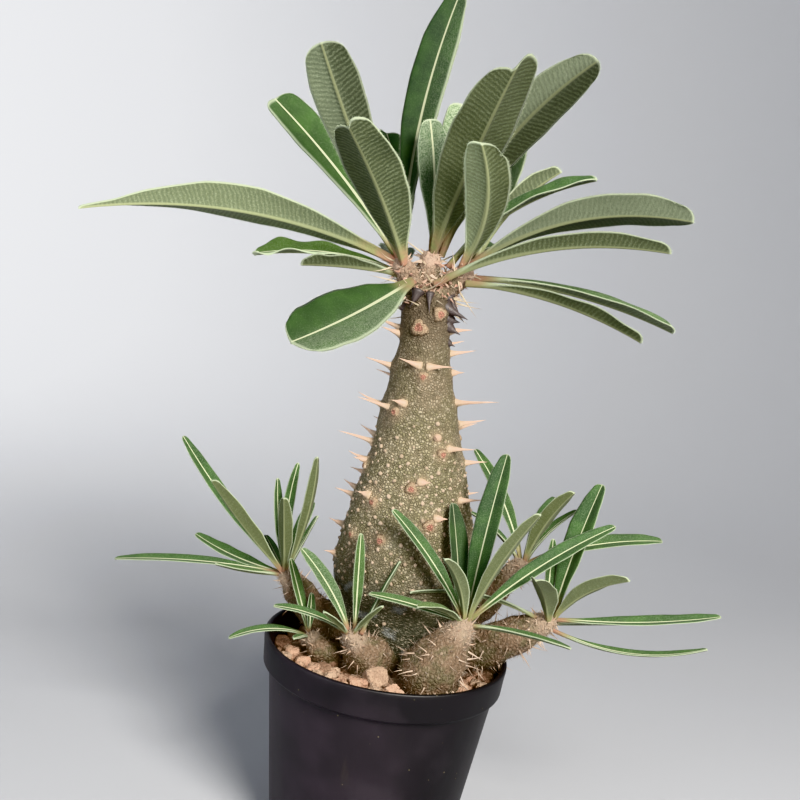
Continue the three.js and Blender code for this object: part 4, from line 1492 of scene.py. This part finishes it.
@dataclass
class Grit:
    """Dark bed with a cover of loose stones, some of them larger."""

    pot: Pot
    level: float = 72.6
    cover: float = 2.2
    wave: float = 0.7
    trunk: tuple[float, float, float] = (8.0, 14.0, 22.0)
    rows: int = 40
    columns: int = 120
    layers: Sequence[tuple[str, float, Scatter]] = (
        ("grit_small", 0.2, Scatter(1.7, 1.4, 2.9, seed=7)),
        ("grit_stones", 0.9, Scatter(4.0, 3.2, 6.0, cuts=4, seed=3)),
    )
    # Larger stones: heading, distance from the middle, size and lift above the bed
    boulders: Sequence[tuple[float, float, float, float]] = (
        (-102, 37.5, 8, 3.4),
        (-92, 39.5, 7, 3.6),
        (-83, 42.3, 7, 5),
        (-111, 39.5, 7, 2.8),
        (-94, 34, 9.5, 5.5),
        (-107, 31.5, 6.5, 1.2),
        (-119, 38, 7, 2.2),
        (-116, 31.5, 6.5, 0.6),
        (-88, 34.5, 5.5, 1.2),
        (-127, 39, 6.5, 1.8),
        (-135, 36, 7, 1.2),
        (-143, 40, 6, 1.4),
        (-126, 33, 6, 0.4),
        (-150, 35, 6.5, 0.8),
        (-158, 40.5, 5.5, 1.2),
        (-167, 37, 6.5, 0.8),
        (-177, 40, 6, 1),
        (-97, 41.5, 4.5, 4),
        (-77, 43.2, 5, 4),
        (-50, 41, 5.5, 0),
        (-42, 38, 6, -0.6),
        (-32, 41, 5.5, 0),
    )

    def _surface(self, radius: np.ndarray, turn: np.ndarray) -> np.ndarray:
        """Height of the bed, which the stones cover up to the CAD's level."""
        swell = np.sin(radius / 6 + 2 * turn) * np.cos(3 * turn)
        return self.level - self.cover + self.wave * swell

    def _disc(self, radii: np.ndarray) -> np.ndarray:
        """Rings of points on the bed's surface."""
        turns = once_round(self.columns)[None, :]
        heights = self._surface(radii, turns)
        return np.stack([radii * np.cos(turns), radii * np.sin(turns), heights], axis=-1)

    def _bed(self) -> Form:
        """The bed as a closed filling of the pot."""
        top_radius, bottom = self.pot.inner(self.level) - 0.5, self.pot.floor + 0.3
        flat = self._disc(np.linspace(top_radius, top_radius / self.rows, self.rows)[:, None])
        flat[..., 2] += 0.5 * lumps(flat, 3.0, 5)
        low = self._disc(np.array([[self.pot.inner(bottom) - 0.4]]))
        low[..., 2] = bottom
        rings = np.concatenate([low, flat])
        return Form.skinned(rings, np.array([0, 0, bottom]), np.array([0, 0, self.level - self.cover]))

    def _open_sheet(self, lift: float) -> Form:
        """The bed's top as an open sheet that faces up, marked "open" where stones may lie."""
        grid = self._disc(np.linspace(self.pot.inner(self.level) - 2.4, 2.0, self.rows)[:, None])
        grid[..., 2] += lift
        x, y, clear = self.trunk
        away = np.hypot(grid[..., 0] - x, grid[..., 1] - y)
        marks = {"open": (away > clear).astype(float).ravel()}
        return Form(grid.reshape(-1, 3), bands(self.rows, self.columns), marks)

    def _boulder(self, around: float, out: float, size: float, lift: float, seed: int) -> Form:
        """One larger stone with its own lumps and facets."""
        columns, rows = 36, 20
        turns = once_round(columns)[None, :]
        tilts = np.linspace(-math.pi / 2, math.pi / 2, rows + 2)[1:-1, None]
        level = np.cos(tilts)
        ball = np.stack([level * np.cos(turns), level * np.sin(turns), np.sin(tilts) + 0 * turns], axis=-1)
        poles = np.array([[0, 0, -1.0], [0, 0, 1.0]])
        spin = np.array(Matrix.Rotation(seed * 1.7, 3, "Z") @ Matrix.Rotation(seed * 0.9, 3, "X"))

        def worn(points: np.ndarray) -> np.ndarray:
            """Squared-off, dented and sized points."""
            full = points * (1 / np.maximum(np.abs(points).max(axis=-1, keepdims=True), 0.72)) * 0.9
            octaves = ((0.8, 0.16), (0.4, 0.09), (0.2, 0.05), (0.1, 0.025))
            dents = sum(lumps(points, width, seed + 3)[..., None] * depth for width, depth in octaves)
            shaped = full * (1 + dents) * np.array([1.0, 0.85, 0.78]) * size / 2
            height = self.level - self.cover + size * 0.25 + lift
            return shaped @ spin.T + direction(around) * out + np.array([0, 0, height])

        ends = worn(poles)
        form = Form.skinned(worn(ball), ends[0], ends[1])
        form.marks["strand"] = np.full(len(form.points), (seed * 0.37) % 0.6 + 0.35)
        return form

    def build(self, tree: StoneTree) -> None:
        """Builds the bed, the scattered stones in two layers and the larger stones."""
        stone = GritStone().material()
        seat(self._bed().object("grit_bed", GritBed().material()), "grit", "potting_grit")
        for name, lift, scatter in self.layers:
            sheet = self._open_sheet(lift).object(name + "_sheet", outward=False)
            layer = tree.run(sheet, name, scatter, stone)
            layer.data.shade_smooth()
            seat(layer, "grit", "potting_grit")
        rocks = [self._boulder(*row, seed=i + 2) for i, row in enumerate(self.boulders)]
        seat(Form.joined(rocks).object("grit_boulders", stone), "grit", "potting_grit")


@dataclass
class Trunk:
    """Swollen, tapering trunk with paired spines, leaf scars, a dark neck and three woolly crown arms."""

    rows: int = 250
    columns: int = 220
    ends: tuple[float, float] = (50.0, 216.0)
    foot_fades: tuple[float, float] = (84.0, 108.0)
    lump: float = 0.018
    spine_lift: float = 12.0
    callus_rise: float = 0.9
    callus_limit: float = 1.7
    spine_callus: float = 2.3
    scar_callus: float = 2.9
    stations: Sequence[tuple[float, float, float, float]] = (
        (48, 8, 14, 7),
        (58, 8, 14, 15),
        (66, 8, 14, 20),
        (73, 7.5, 14, 24),
        (82, 7, 14, 27.5),
        (92, 6, 14, 29),
        (102, 4, 13.5, 29),
        (112, 3, 13, 28),
        (122, 2, 12.5, 26.5),
        (134, 1, 12, 23.5),
        (148, 0.5, 11, 20),
        (160, 0, 10, 17),
        (172, -1, 9.5, 14.8),
        (184, -2, 9, 12.4),
        (194, -3, 8.5, 10),
        (202, -3.5, 8, 9.4),
        (210, -4, 8, 10),
        (216, -5, 8, 9.4),
    )
    arms: Sequence[Sequence[tuple[float, float, float, float]]] = (
        ((-5, 8, 211, 7.5), (-11, 8, 220, 5.4), (-17, 8, 227, 4)),
        ((-5, 8, 213, 7.5), (-6, 9, 222, 5.4), (-6, 9, 230, 4)),
        ((-4, 8, 211, 7.5), (1, 8, 220, 5.4), (7, 8, 227, 4)),
    )
    # Spines: heading, height, length and how far they spread sideways
    spines: Sequence[tuple[float, float, float, float]] = (
        (178, 203, 12, -12),
        (-170, 201, 8, 18),
        (172, 187, 12, -15),
        (-176, 188, 11, 18),
        (176, 172, 11, -12),
        (-142, 173, 13, -22),
        (-178, 157, 14, -8),
        (165, 159, 9, -20),
        (178, 149, 8, -10),
        (-165, 150, 6, 15),
        (180, 134, 8, -10),
        (168, 136, 7, -20),
        (178, 121, 6, 0),
        (-172, 110, 5, 10),
        (-10, 205, 8, 0),
        (2, 196, 10, 12),
        (-12, 189, 5, -15),
        (0, 177, 17, 5),
        (-16, 178, 12, -8),
        (4, 169, 11, 10),
        (-44, 161, 10, 28),
        (0, 154, 9, 5),
        (-28, 141, 9, 15),
        (-101, 191, 8, -52),
        (-74, 191, 9, 52),
        (-118, 176, 5, -30),
        (-64, 165, 4, -30),
        (-80, 148, 4, 45),
        (-136, 139, 4, -45),
        (-62, 135, 4, 40),
        (48, 198, 10, -15),
        (104, 193, 11, -12),
        (136, 182, 11, 12),
        (64, 180, 12, 15),
        (26, 166, 10, 12),
        (92, 168, 12, -15),
        (132, 162, 10, 15),
        (58, 152, 9, -12),
        (112, 146, 9, 12),
        (150, 141, 7, 15),
        (30, 138, 8, -12),
        (78, 132, 7, 14),
        (124, 126, 6, -14),
        (52, 122, 6, 12),
    )
    # Old black thorns round the neck: heading, height, length, rise and thickness
    thorns: Sequence[tuple[float, float, float, float, float]] = (
        (-12, 216, 10, -48, 1.5),
        (-26, 213, 9, -14, 1.6),
        (-14, 209, 4, -8, 1.4),
        (-20, 206, 5, -20, 1.3),
        (-8, 200, 3, -20, 0.9),
        (-162, 211, 4, -5, 1.1),
        (-116, 217, 6, -60, 1.2),
        (-84, 217, 7, -62, 0.8),
        (120, 211, 7, -5, 1.2),
        (60, 213, 6, -10, 1.2),
        (165, 216, 6, -30, 1.1),
    )
    arm_bark: StemBark = StemBark(
        "arm_bark", light=(0.26, 0.185, 0.13), moss=(0.15, 0.135, 0.085), tip=(0.46, 0.33, 0.255)
    )
    wart_cork: Strand = Strand(
        "wart_cork", (0.27, 0.205, 0.14), (0.46, 0.36, 0.265), (0.42, 0.32, 0.24), roughness=0.8
    )
    warts: Scatter = Scatter(3.1, 0.6, 1.8, roundness=0.8, roughness=0.6, lump=0.8, seed=12)
    # Coats: the first stands on the trunk's foot, the others on the crown's arms
    coats: Sequence[tuple[Strand, Coat]] = (
        (
            Strand("trunk_foot_bristles", (0.16, 0.15, 0.10), (0.46, 0.43, 0.33), (0.50, 0.46, 0.36)),
            Coat(0.5, 0.7, 2.0, 0.05, bend=0.3, lean=1.0, rows=1, seed=17),
        ),
        (
            Strand("crown_wool", (0.24, 0.20, 0.155), (0.56, 0.48, 0.39), (0.62, 0.56, 0.48)),
            Coat(1.1, 0.6, 1.8, 0.035, bend=0.4, lean=1.2, seed=5),
        ),
        (
            Strand("crown_bristles", (0.40, 0.34, 0.22), (0.66, 0.56, 0.40), (0.30, 0.21, 0.17)),
            Coat(0.05, 6.0, 13.0, 0.034, bend=0.16, lean=0.55, rows=4, sides=6, seed=8),
        ),
        (
            Strand("crown_bracts", (0.42, 0.225, 0.165), (0.62, 0.50, 0.38), (0.40, 0.28, 0.20)),
            Coat(0.16, 1.6, 4.2, 0.19, bend=0.35, lean=0.8, rows=3, sides=5, seed=13),
        ),
    )
    # Leaf scars: heading, height and radius
    scars: Sequence[tuple[float, float, float]] = (
        (-104, 205, 2.4),
        (-62, 211, 2.0),
        (-88, 187, 1.5),
        (-127, 172, 1.5),
        (-57, 159, 1.5),
        (-91, 145, 1.7),
        (-127, 137, 1.5),
        (-71, 132, 1.9),
        (-112, 124, 1.7),
        (-144, 122, 1.3),
        (-48, 120, 1.4),
        (-160, 148, 1.3),
        (50, 194, 1.5),
        (102, 189, 1.5),
        (138, 178, 1.5),
        (66, 176, 1.6),
        (24, 162, 1.5),
        (94, 164, 1.6),
        (134, 158, 1.5),
        (60, 148, 1.6),
        (114, 142, 1.6),
        (152, 137, 1.5),
        (32, 134, 1.6),
        (80, 128, 1.6),
        (126, 122, 1.6),
        (20, 112, 1.6),
    )

    def middle(self, z: np.ndarray) -> tuple[np.ndarray, np.ndarray, np.ndarray]:
        """Axis x, axis y and radius at heights z."""
        columns = ([(row[0], row[k]) for row in self.stations] for k in (1, 2, 3))
        x, y, radius = (eased(column, z) for column in columns)
        return x, y, radius

    def _out_of_round(self, turn: np.ndarray, z: np.ndarray) -> np.ndarray:
        """Share by which the radius is more or less than round."""
        return 1 + self.lump * np.sin(3 * turn + z / 18) + self.lump * np.cos(5 * turn - z / 11)

    def _swelling(self, turn: np.ndarray, z: np.ndarray, reach: np.ndarray) -> tuple[np.ndarray, np.ndarray]:
        """How far the bark swells out round spines and scars, and how callused it is there."""
        swell, callus = np.zeros_like(reach), np.zeros_like(reach)
        swollen = [(row[0], row[1], self.spine_callus) for row in self.spines]
        swollen += [(row[0], row[1], self.scar_callus) for row in self.scars]
        for around, height, spread in swollen:
            turned = (turn - math.radians(around) + math.pi) % (2 * math.pi) - math.pi
            near = np.exp(-((reach * turned) ** 2 + (z - height) ** 2) / spread**2)
            swell = swell + self.callus_rise * near
            callus = np.maximum(callus, near)
        return np.minimum(swell, self.callus_limit), callus

    def spot(self, around: float, z: float, sunk: float = 0.0) -> np.ndarray:
        """Point on the bark at a heading and height, sunk below it."""
        x, y, radius = (float(v) for v in self.middle(np.array(z)))
        turn, height = np.array(math.radians(around)), np.array(float(z))
        reach = radius * self._out_of_round(turn, height)
        swell, _ = self._swelling(turn, height, reach)
        return np.array([x, y, z]) + direction(around) * float(reach + swell - sunk)

    def _bark(self) -> Form:
        """The trunk's body, with the mark "callus" round spines and scars."""
        z = np.linspace(*self.ends, self.rows)[:, None]
        turn = once_round(self.columns)[None, :]
        x, y, radius = self.middle(z)
        reach = radius * self._out_of_round(turn, z)
        flat = np.stack([x + reach * np.cos(turn), y + reach * np.sin(turn), z + 0 * turn], axis=-1)
        low = 1 - smooth_step(*self.foot_fades, z)
        rugged = smooth_step(200, 212, z) + 0.5 * low
        swell = 0.45 * lumps(flat, 9.0, 2) + (0.16 + 0.34 * rugged) * lumps(flat, 2.4, 3)
        bulge, callus = self._swelling(turn, z, reach)
        folds = np.sin(z * (2 * math.pi / 3.4) + 5 * lumps(flat, 11.0, 8)) * low
        swell = swell + bulge + 0.14 * folds
        way = np.stack([np.cos(turn) + 0 * z, np.sin(turn) + 0 * z, 0 * (turn + z)], axis=-1)
        grid = flat + way * swell[..., None]
        form = Form.skinned(grid, np.array([8, 14, 46]), np.array([-5, 8, 221]))
        form.marks["callus"] = np.concatenate([callus.ravel(), [0, 0]])
        heights = form.points[:, 2]
        below_neck = 1 - smooth_step(150, 176, heights)
        form.marks["open"] = below_neck * (0.3 + 0.7 * smooth_step(96, 112, heights))
        form.marks["hairy"] = 1 - smooth_step(84, 104, heights)
        return form

    def _spine_forms(self) -> list[Form]:
        """All spines, then the black thorns of the neck."""
        made = []
        for i, (around, height, length, spread) in enumerate(self.spines):
            foot = self.spot(around, height, sunk=0.2)
            heading = direction(around + spread + 4 * math.sin(2.4 * i), self.spine_lift)
            bend = 0.09 * math.sin(1.7 * i + 1)
            made.append(SpineCone(foot, heading, length, bend=bend).form())
        for i, (around, height, length, rise, thickness) in enumerate(self.thorns):
            foot = self.spot(around, height, sunk=0.4)
            bend = 0.1 * (-1) ** i
            cone = SpineCone(foot, direction(around, rise), length, radius=thickness, bend=bend, age=0.96)
            made.append(cone.form())
        return made

    def _scar(self, around: float, height: float, radius: float) -> Form:
        """One corky scar: a low knob with a shallow dish and an uneven rim."""
        way = direction(around)
        side, over = direction(around + 90), np.array([0.0, 0.0, 1.0])
        centre = self.spot(around, height) + way * 0.2
        profile = ((0.3, 0.52, 0.0), (0.58, 0.5, 0.3), (0.84, 0.36, 0.8), (1.08, 0.05, 1.0), (1.5, -0.9, 1.0))
        turns = once_round(20)
        rings = []
        for share, rise, _ in profile[::-1]:
            out = share * radius * (1 + 0.10 * np.sin(3 * turns + around) + 0.06 * np.sin(7 * turns + height))
            disc = np.outer(np.cos(turns) * out, side) + np.outer(np.sin(turns) * out, over)
            rings.append(centre + disc + way * rise)
        grid = np.array(rings)
        grid = grid + way * 0.22 * lumps(grid, 1.1, 6)[..., None]
        rim = np.array([mark for *_, mark in profile[::-1]])
        return Form.skinned(grid, centre - way * 1.4, centre + way * 0.5, {"rim": rim})

    def build(self, strands: StrandTree, stones: StoneTree) -> None:
        """Builds bark, arms, spines, scars, warts, wool, bristles and bracts."""
        bark = self._bark()
        arms = [Limb(knots, rows=26, columns=40, lump=0.8, seed=20 + i) for i, knots in enumerate(self.arms)]
        arms = Form.joined([arm.form() for arm in arms])
        solids = (
            ("trunk_body", bark, TrunkBark()),
            ("crown_arms", arms, self.arm_bark),
            ("trunk_spines", Form.joined(self._spine_forms()), SpineHorn()),
            ("trunk_scars", Form.joined([self._scar(*row) for row in self.scars]), ScarCork()),
        )
        for name, form, finish in solids:
            seat(form.object(name, finish.material()), "trunk_bark", "trunk")
        carrier = bark.object("wart_carrier")
        warts = stones.run(carrier, "trunk_warts", self.warts, self.wart_cork.material())
        warts.data.shade_smooth()
        seat(warts, "trunk_bark", "trunk")
        for i, (strand, coat) in enumerate(self.coats):
            carrier = (arms if i else bark).object(strand.name + "_carrier")
            seat(strands.run(carrier, strand.name, coat, strand.material()), "trunk_bark", "trunk")


@dataclass
class Crown:
    """The 25 leaves of the three crown arms."""

    leaves: list[Leaf] = field(default_factory=crown_leaves)

    def build(self, tree: StrandTree, felt: bpy.types.Material, hair: bpy.types.Material) -> None:
        """Builds each leaf in place of its node, and the hairs of all margins."""
        for i, leaf in enumerate(self.leaves, start=1):
            node = f"crown_leaf_{i:02d}"
            seat(leaf.form().object(node + "_blade", felt), "leaf", node)
        carrier = Form.joined([leaf.fringe() for leaf in self.leaves]).object("crown_margins", outward=False)
        coat = Coat(14.0, 0.35, 0.95, 0.045, bend=0.15, lean=0.7, rows=1)
        seat(tree.run(carrier, "crown_leaf_hairs", coat, hair), "leaf")


@dataclass
class Shoot:
    """One side stem with its tuft of leaves, bristles and woolly tip.

    In "leaf_node", braces stand for the leaf's number. "bristle" is the length of the longest bristle.
    """

    name: str
    knots: Sequence[tuple[float, float, float, float]]
    leaves: Sequence[Leaf]
    stem_node: str
    leaf_node: str
    seed: int
    bristle: float = 6.0

    def build(self, tree: StrandTree, finishes: dict[str, bpy.types.Material]) -> list[Form]:
        """Builds the shoot.

        Args:
            tree: grows its bristles and wool.
            finishes: the shared materials by name.

        Returns:
            The margin bands of its leaves, for their hairs.
        """
        limb = Limb(self.knots, seed=self.seed)
        seat(limb.form().object(f"{self.name}_bark", finishes["bark"]), "stem_bark", self.stem_node)
        for i, leaf in enumerate(self.leaves, start=1):
            blade = leaf.form().object(f"{self.name}_blade_{i}", finishes["felt"])
            seat(blade, "leaf", self.leaf_node.format(i))
        # Coats: name, share of the stem that is bare, finish and strands
        coats = (
            ("fibres", 0.0, "fibre", Coat(0.55, 0.6, 2.0, 0.05, bend=0.35, lean=1.25, rows=1)),
            ("bristles", 0.0, "bristle", Coat(0.035, self.bristle / 2, self.bristle, 0.05, 0.12, 0.6, 3, 5)),
            ("wool", 0.78, "wool", Coat(2.0, 0.7, 1.9, 0.035, bend=0.4, lean=1.0, rows=1)),
            ("bracts", 0.7, "bract", Coat(0.12, 1.5, 3.2, 0.13, bend=0.3, lean=0.7, rows=2, sides=5)),
        )
        for number, (kind, bare, finish, coat) in enumerate(coats):
            carrier = Limb(self.knots, seed=self.seed, bare=bare).form().object(f"{self.name}_{kind}_carrier")
            coat = replace(coat, seed=self.seed + 20 * number)
            tuft = tree.run(carrier, f"{self.name}_{kind}", coat, finishes[finish])
            seat(tuft, "stem_bark", self.stem_node)
        return [leaf.fringe(0.12) for leaf in self.leaves]


def side_shoots() -> list[Shoot]:
    """The six side shoots, with leaves in the order of their CAD nodes."""
    left, low, front_left = (-44, 4, 100), (-30, -10, 82), (-14, -18, 88)
    front, back, right = (28, -20, 100), (49, 15, 116), (62, -2, 101)
    return [
        Shoot(
            "left_shoot",
            ((-14, 12, 78, 7), (-27, 5, 84, 6.6), (-37, 4, 93, 6), (-42, 4, 98, 4.2)),
            (
                tuft_leaf(left, 164, 41, 69, 7, -2, roll=-35, olive=0.15),
                tuft_leaf(left, -159, 47, 49, 10, -1, roll=35, olive=0.85),
                tuft_leaf(left, 166, 10, 41, 7, -2, roll=-25),
                tuft_leaf(left, 178, -5, 69, 6, 2, roll=-20),
                tuft_leaf(left, -161, 5, 28, 4, -1, olive=0.5),
                tuft_leaf(left, -101, 67, 37, 7, olive=0.8),
                tuft_leaf(left, 128, 66, 38, 5, -2),
                tuft_leaf(left, 100, 76, 44, 5, 0, 2),
                tuft_leaf(left, -46, 79, 51, 6, 0, 3, olive=0.75),
                tuft_leaf(left, 30, 66, 26, 4),
                tuft_leaf(left, 120, 17, 26, 5),
                tuft_leaf(left, 80, 40, 36, 6, 3),
            ),
            "left_shoot",
            "left_shoot",
            seed=31,
        ),
        Shoot(
            "low_left_shoot",
            ((-12, 0, 70, 4.5), (-24, -10, 76, 4.8), (-29, -10, 80, 3.2)),
            (
                tuft_leaf(low, -161, -5, 31, 5, 3, roll=-15),
                tuft_leaf(low, -113, 8, 12, 4, olive=0.4),
                tuft_leaf(low, 146, 61, 30, 5, roll=-20, olive=0.4),
                tuft_leaf(low, 120, 79, 16, 4),
            ),
            "low_left_shoot",
            "low_left_shoot",
            seed=32,
            bristle=4.5,
        ),
        Shoot(
            "front_left_shoot",
            ((2, -4, 73, 7), (-7, -13, 79, 9.6), (-13, -17, 86, 4)),
            (
                tuft_leaf(front_left, 162, 48, 37, 7, 2, roll=-35, frost=0.3),
                tuft_leaf((-12.5, -18, 88), 114, 77, 38, 5, olive=0.4),
                tuft_leaf((-11, -19, 88), 5, 70, 33, 4),
                tuft_leaf(front_left, -44, 48, 22, 4, olive=0.8),
                tuft_leaf(front_left, -136, 36, 18, 5, olive=0.9),
                tuft_leaf(front_left, -172, 14, 31, 5, 2, roll=-20),
                tuft_leaf((-15, -17, 86), 122, 32, 30, 4, 3),
            ),
            "front_left_stem",
            "front_left_leaf_{}",
            seed=33,
        ),
        Shoot(
            "front_shoot",
            ((17, -8, 72, 8), (18, -21, 79, 12), (22, -22, 88, 9.5), (27, -20, 98, 4.4)),
            (
                # tone darkens these two leaves as painted shade
                tuft_leaf(front, 67, 76, 65, 11, 2, olive=0.05, tone=0.8),
                tuft_leaf((26, -18.5, 99), 128, 70, 45, 10, 1, olive=0.1, tone=0.6),
                tuft_leaf(front, 180, 49, 51, 7, 2, roll=-40, olive=0.15),
                tuft_leaf(front, -128, 55, 34, 7, 3, roll=15, olive=0.9, frost=0.25),
                tuft_leaf(front, -40, 64, 55, 8, 2, roll=-20, olive=0.9, frost=0.2),
                tuft_leaf(front, 21, 36, 69, 8, 3, roll=30, olive=0.1),
                tuft_leaf(front, -143, 19, 25, 7, 2, olive=0.9, frost=0.25),
                tuft_leaf(front, -174, 10, 38, 5, 1, roll=-30, olive=0.35),
                tuft_leaf(front, -16, 1, 40, 5, 1, olive=0.3),
            ),
            "front_stem",
            "front_leaf_{}",
            seed=34,
            bristle=7.5,
        ),
        Shoot(
            "back_right_shoot",
            ((26, 21, 84, 7), (37, 18, 97, 6.2), (48, 15, 114, 4.2)),
            (
                tuft_leaf(back, -33, 64, 38, 9, 2, roll=-30, olive=0.85),
                tuft_leaf(back, 20, 49, 31, 6, 2, olive=0.3),
                tuft_leaf(back, 11, 15, 59, 8, 3, roll=30),
                tuft_leaf(back, 140, 50, 51, 7, 3, roll=-30),
                tuft_leaf(back, 159, 31, 30, 5, 2),
                tuft_leaf(back, 70, 28, 44, 7, 3),
            ),
            "back_right_shoot",
            "back_right_shoot",
            seed=35,
        ),
        Shoot(
            "right_shoot",
            ((24, 4, 79, 8.5), (37, 0, 84, 8.4), (50, -1, 92, 7.4), (60, -2, 99, 4.4)),
            (
                tuft_leaf(right, 51, 69, 56, 12, 2, olive=0.1),
                tuft_leaf(right, -32, 41, 37, 10, 3, roll=-35, olive=0.85, frost=0.25),
                tuft_leaf((61, -4, 100), -116, 43, 33, 11, 2, olive=0.9, frost=0.2),
                tuft_leaf(right, 0, 10, 65, 7, -2, roll=20, olive=0.2),
                tuft_leaf((61, -4, 98), -8, 4, 60, 5, -6, roll=10, olive=0.3),
                tuft_leaf((61, 1, 98), 20, 1, 35, 6),
                tuft_leaf((60, 0, 100), 101, 75, 31, 5),
                tuft_leaf((60, -3, 100), -164, 8, 57, 4, 4, -1.5, roll=20),
            ),
            "right_stem",
            "right_leaf_{}",
            seed=36,
            bristle=7.5,
        ),
    ]


@dataclass
class SideGrowth:
    """All side shoots and the hairs on their leaves."""

    shoots: list[Shoot] = field(default_factory=side_shoots)

    def build(self, tree: StrandTree, felt: bpy.types.Material, hair: bpy.types.Material) -> None:
        """Builds the shoots one after another."""
        strands = {
            "fibre": Strand("stem_fibre", (0.13, 0.10, 0.07), (0.38, 0.31, 0.24), (0.34, 0.28, 0.22)),
            "bristle": Strand("stem_bristle", (0.34, 0.24, 0.17), (0.62, 0.49, 0.38), (0.30, 0.22, 0.17)),
            "wool": Strand("tip_wool", (0.30, 0.24, 0.18), (0.52, 0.45, 0.37), (0.56, 0.50, 0.42)),
            "bract": Strand("tip_bract", (0.38, 0.24, 0.16), (0.58, 0.46, 0.34), (0.38, 0.27, 0.20)),
        }
        finishes = {"felt": felt, "bark": StemBark().material()}
        finishes |= {kind: strand.material() for kind, strand in strands.items()}
        margins = [margin for shoot in self.shoots for margin in shoot.build(tree, finishes)]
        carrier = Form.joined(margins).object("tuft_margins", outward=False)
        coat = Coat(9.0, 0.25, 0.6, 0.055, lean=0.7, rows=1, seed=4)
        seat(tree.run(carrier, "tuft_leaf_hairs", coat, hair), "leaf")


# Picture


@dataclass
class PhotoCamera:
    """Camera at the photograph's viewing angle, worked out from the ellipse of the pot's rim."""

    place: Point = (0.0, -418.5, 241.9)
    yaw: float = 1.26
    pitch: float = 8.9
    roll: float = 8.7
    lens: float = 50.0
    sensor: float = 36.0

    def build(self) -> None:
        """Creates the camera and makes it the scene's."""
        yaw, pitch, roll = (math.radians(angle) for angle in (self.yaw, self.pitch, self.roll))
        ahead = Vector((-math.sin(yaw) * math.cos(pitch), math.cos(yaw) * math.cos(pitch), -math.sin(pitch)))
        level = Vector((math.cos(yaw), math.sin(yaw), 0))
        over = level.cross(ahead)
        right = level * math.cos(roll) + over * math.sin(roll)
        up = over * math.cos(roll) - level * math.sin(roll)
        turn = Matrix((right, up, -ahead)).transposed().to_4x4()
        data = bpy.data.cameras.new("photo_camera")
        data.lens, data.sensor_width, data.clip_start, data.clip_end = self.lens, self.sensor, 0.01, 50.0
        camera = linked("photo_camera", data)
        camera.matrix_world = Matrix.Translation(Vector(self.place) * MM) @ turn
        bpy.context.scene.camera = camera


@dataclass
class Studio:
    """Pale floor that rises to a round wall, open sky above and soft lamps, the strongest from the right."""

    flat: float = 620.0
    bend: float = 1000.0
    wall: float = 2600.0
    drop: float = 0.05
    columns: int = 96
    sky: Colour = (0.80, 0.86, 1.0)
    strength: float = 0.36
    # Lamps: name, place, aim, width, watts and colour
    lamps: Sequence[tuple[str, Point, Point, float, float, Colour]] = (
        ("key", (390, -740, 720), (0, 0, 180), 480, 24.0, (1.0, 0.96, 0.90)),
        ("fill", (-700, -620, 380), (0, 0, 160), 700, 3.6, (0.93, 0.96, 1.0)),
        ("wall_wash", (-500, 300, 900), (-1100, 1500, 500), 500, 19.0, (1.0, 0.98, 0.95)),
    )

    def _floor(self) -> None:
        """Builds the floor and its round wall as one smooth sheet that faces inwards."""
        bends = [math.radians(angle) for angle in range(0, 91, 6)]
        outline = [(1.0, 0.0), (self.flat / 2, 0.0)]
        outline += [(self.flat + self.bend * math.sin(b), self.bend * (1 - math.cos(b))) for b in bends]
        outline += [(self.flat + self.bend, self.wall)]
        turns = once_round(self.columns)
        points = []
        for radius, z in outline:
            points += [(radius * math.cos(turn), radius * math.sin(turn), z - self.drop) for turn in turns]
        faces = [tuple(range(self.columns))]
        faces += [(a, d, c, b) for a, b, c, d in bands(len(outline), self.columns)]
        floor = Form(np.array(points), faces).object("studio_floor", StudioFloor().material(), outward=False)

    def build(self) -> None:
        """Builds floor, sky and lamps, and sets true colours for the picture."""
        self._floor()
        world = bpy.data.worlds.new("sky")
        world.use_nodes = True
        background = world.node_tree.nodes["Background"]
        background.inputs["Color"].default_value = (*self.sky, 1.0)
        background.inputs["Strength"].default_value = self.strength
        bpy.context.scene.world = world
        for name, place, aim, width, watts, colour in self.lamps:
            data = bpy.data.lights.new(name, "AREA")
            data.shape, data.size, data.energy, data.color = "DISK", width * MM, watts, colour
            lamp = linked(name, data)
            lamp.location = Vector(place) * MM
            lamp.rotation_euler = (Vector(aim) - Vector(place)).to_track_quat("-Z", "Y").to_euler()
            lamp.visible_camera = False
        bpy.context.scene.view_settings.view_transform = "Khronos PBR Neutral"


def main() -> None:
    """Builds the picture, the pot and the plant."""
    logging.basicConfig(level=logging.INFO, format="%(name)s: %(message)s")
    PhotoCamera().build()
    Studio().build()
    strands, stones = StrandTree(), StoneTree()
    felt, hair = LeafFelt().material(), LeafHair().material()
    pot = Pot()
    pot.build()
    Grit(pot).build(stones)
    Trunk().build(strands, stones)
    Crown().build(strands, felt, hair)
    SideGrowth().build(strands, felt, hair)


if __name__ == "__main__":
    main()
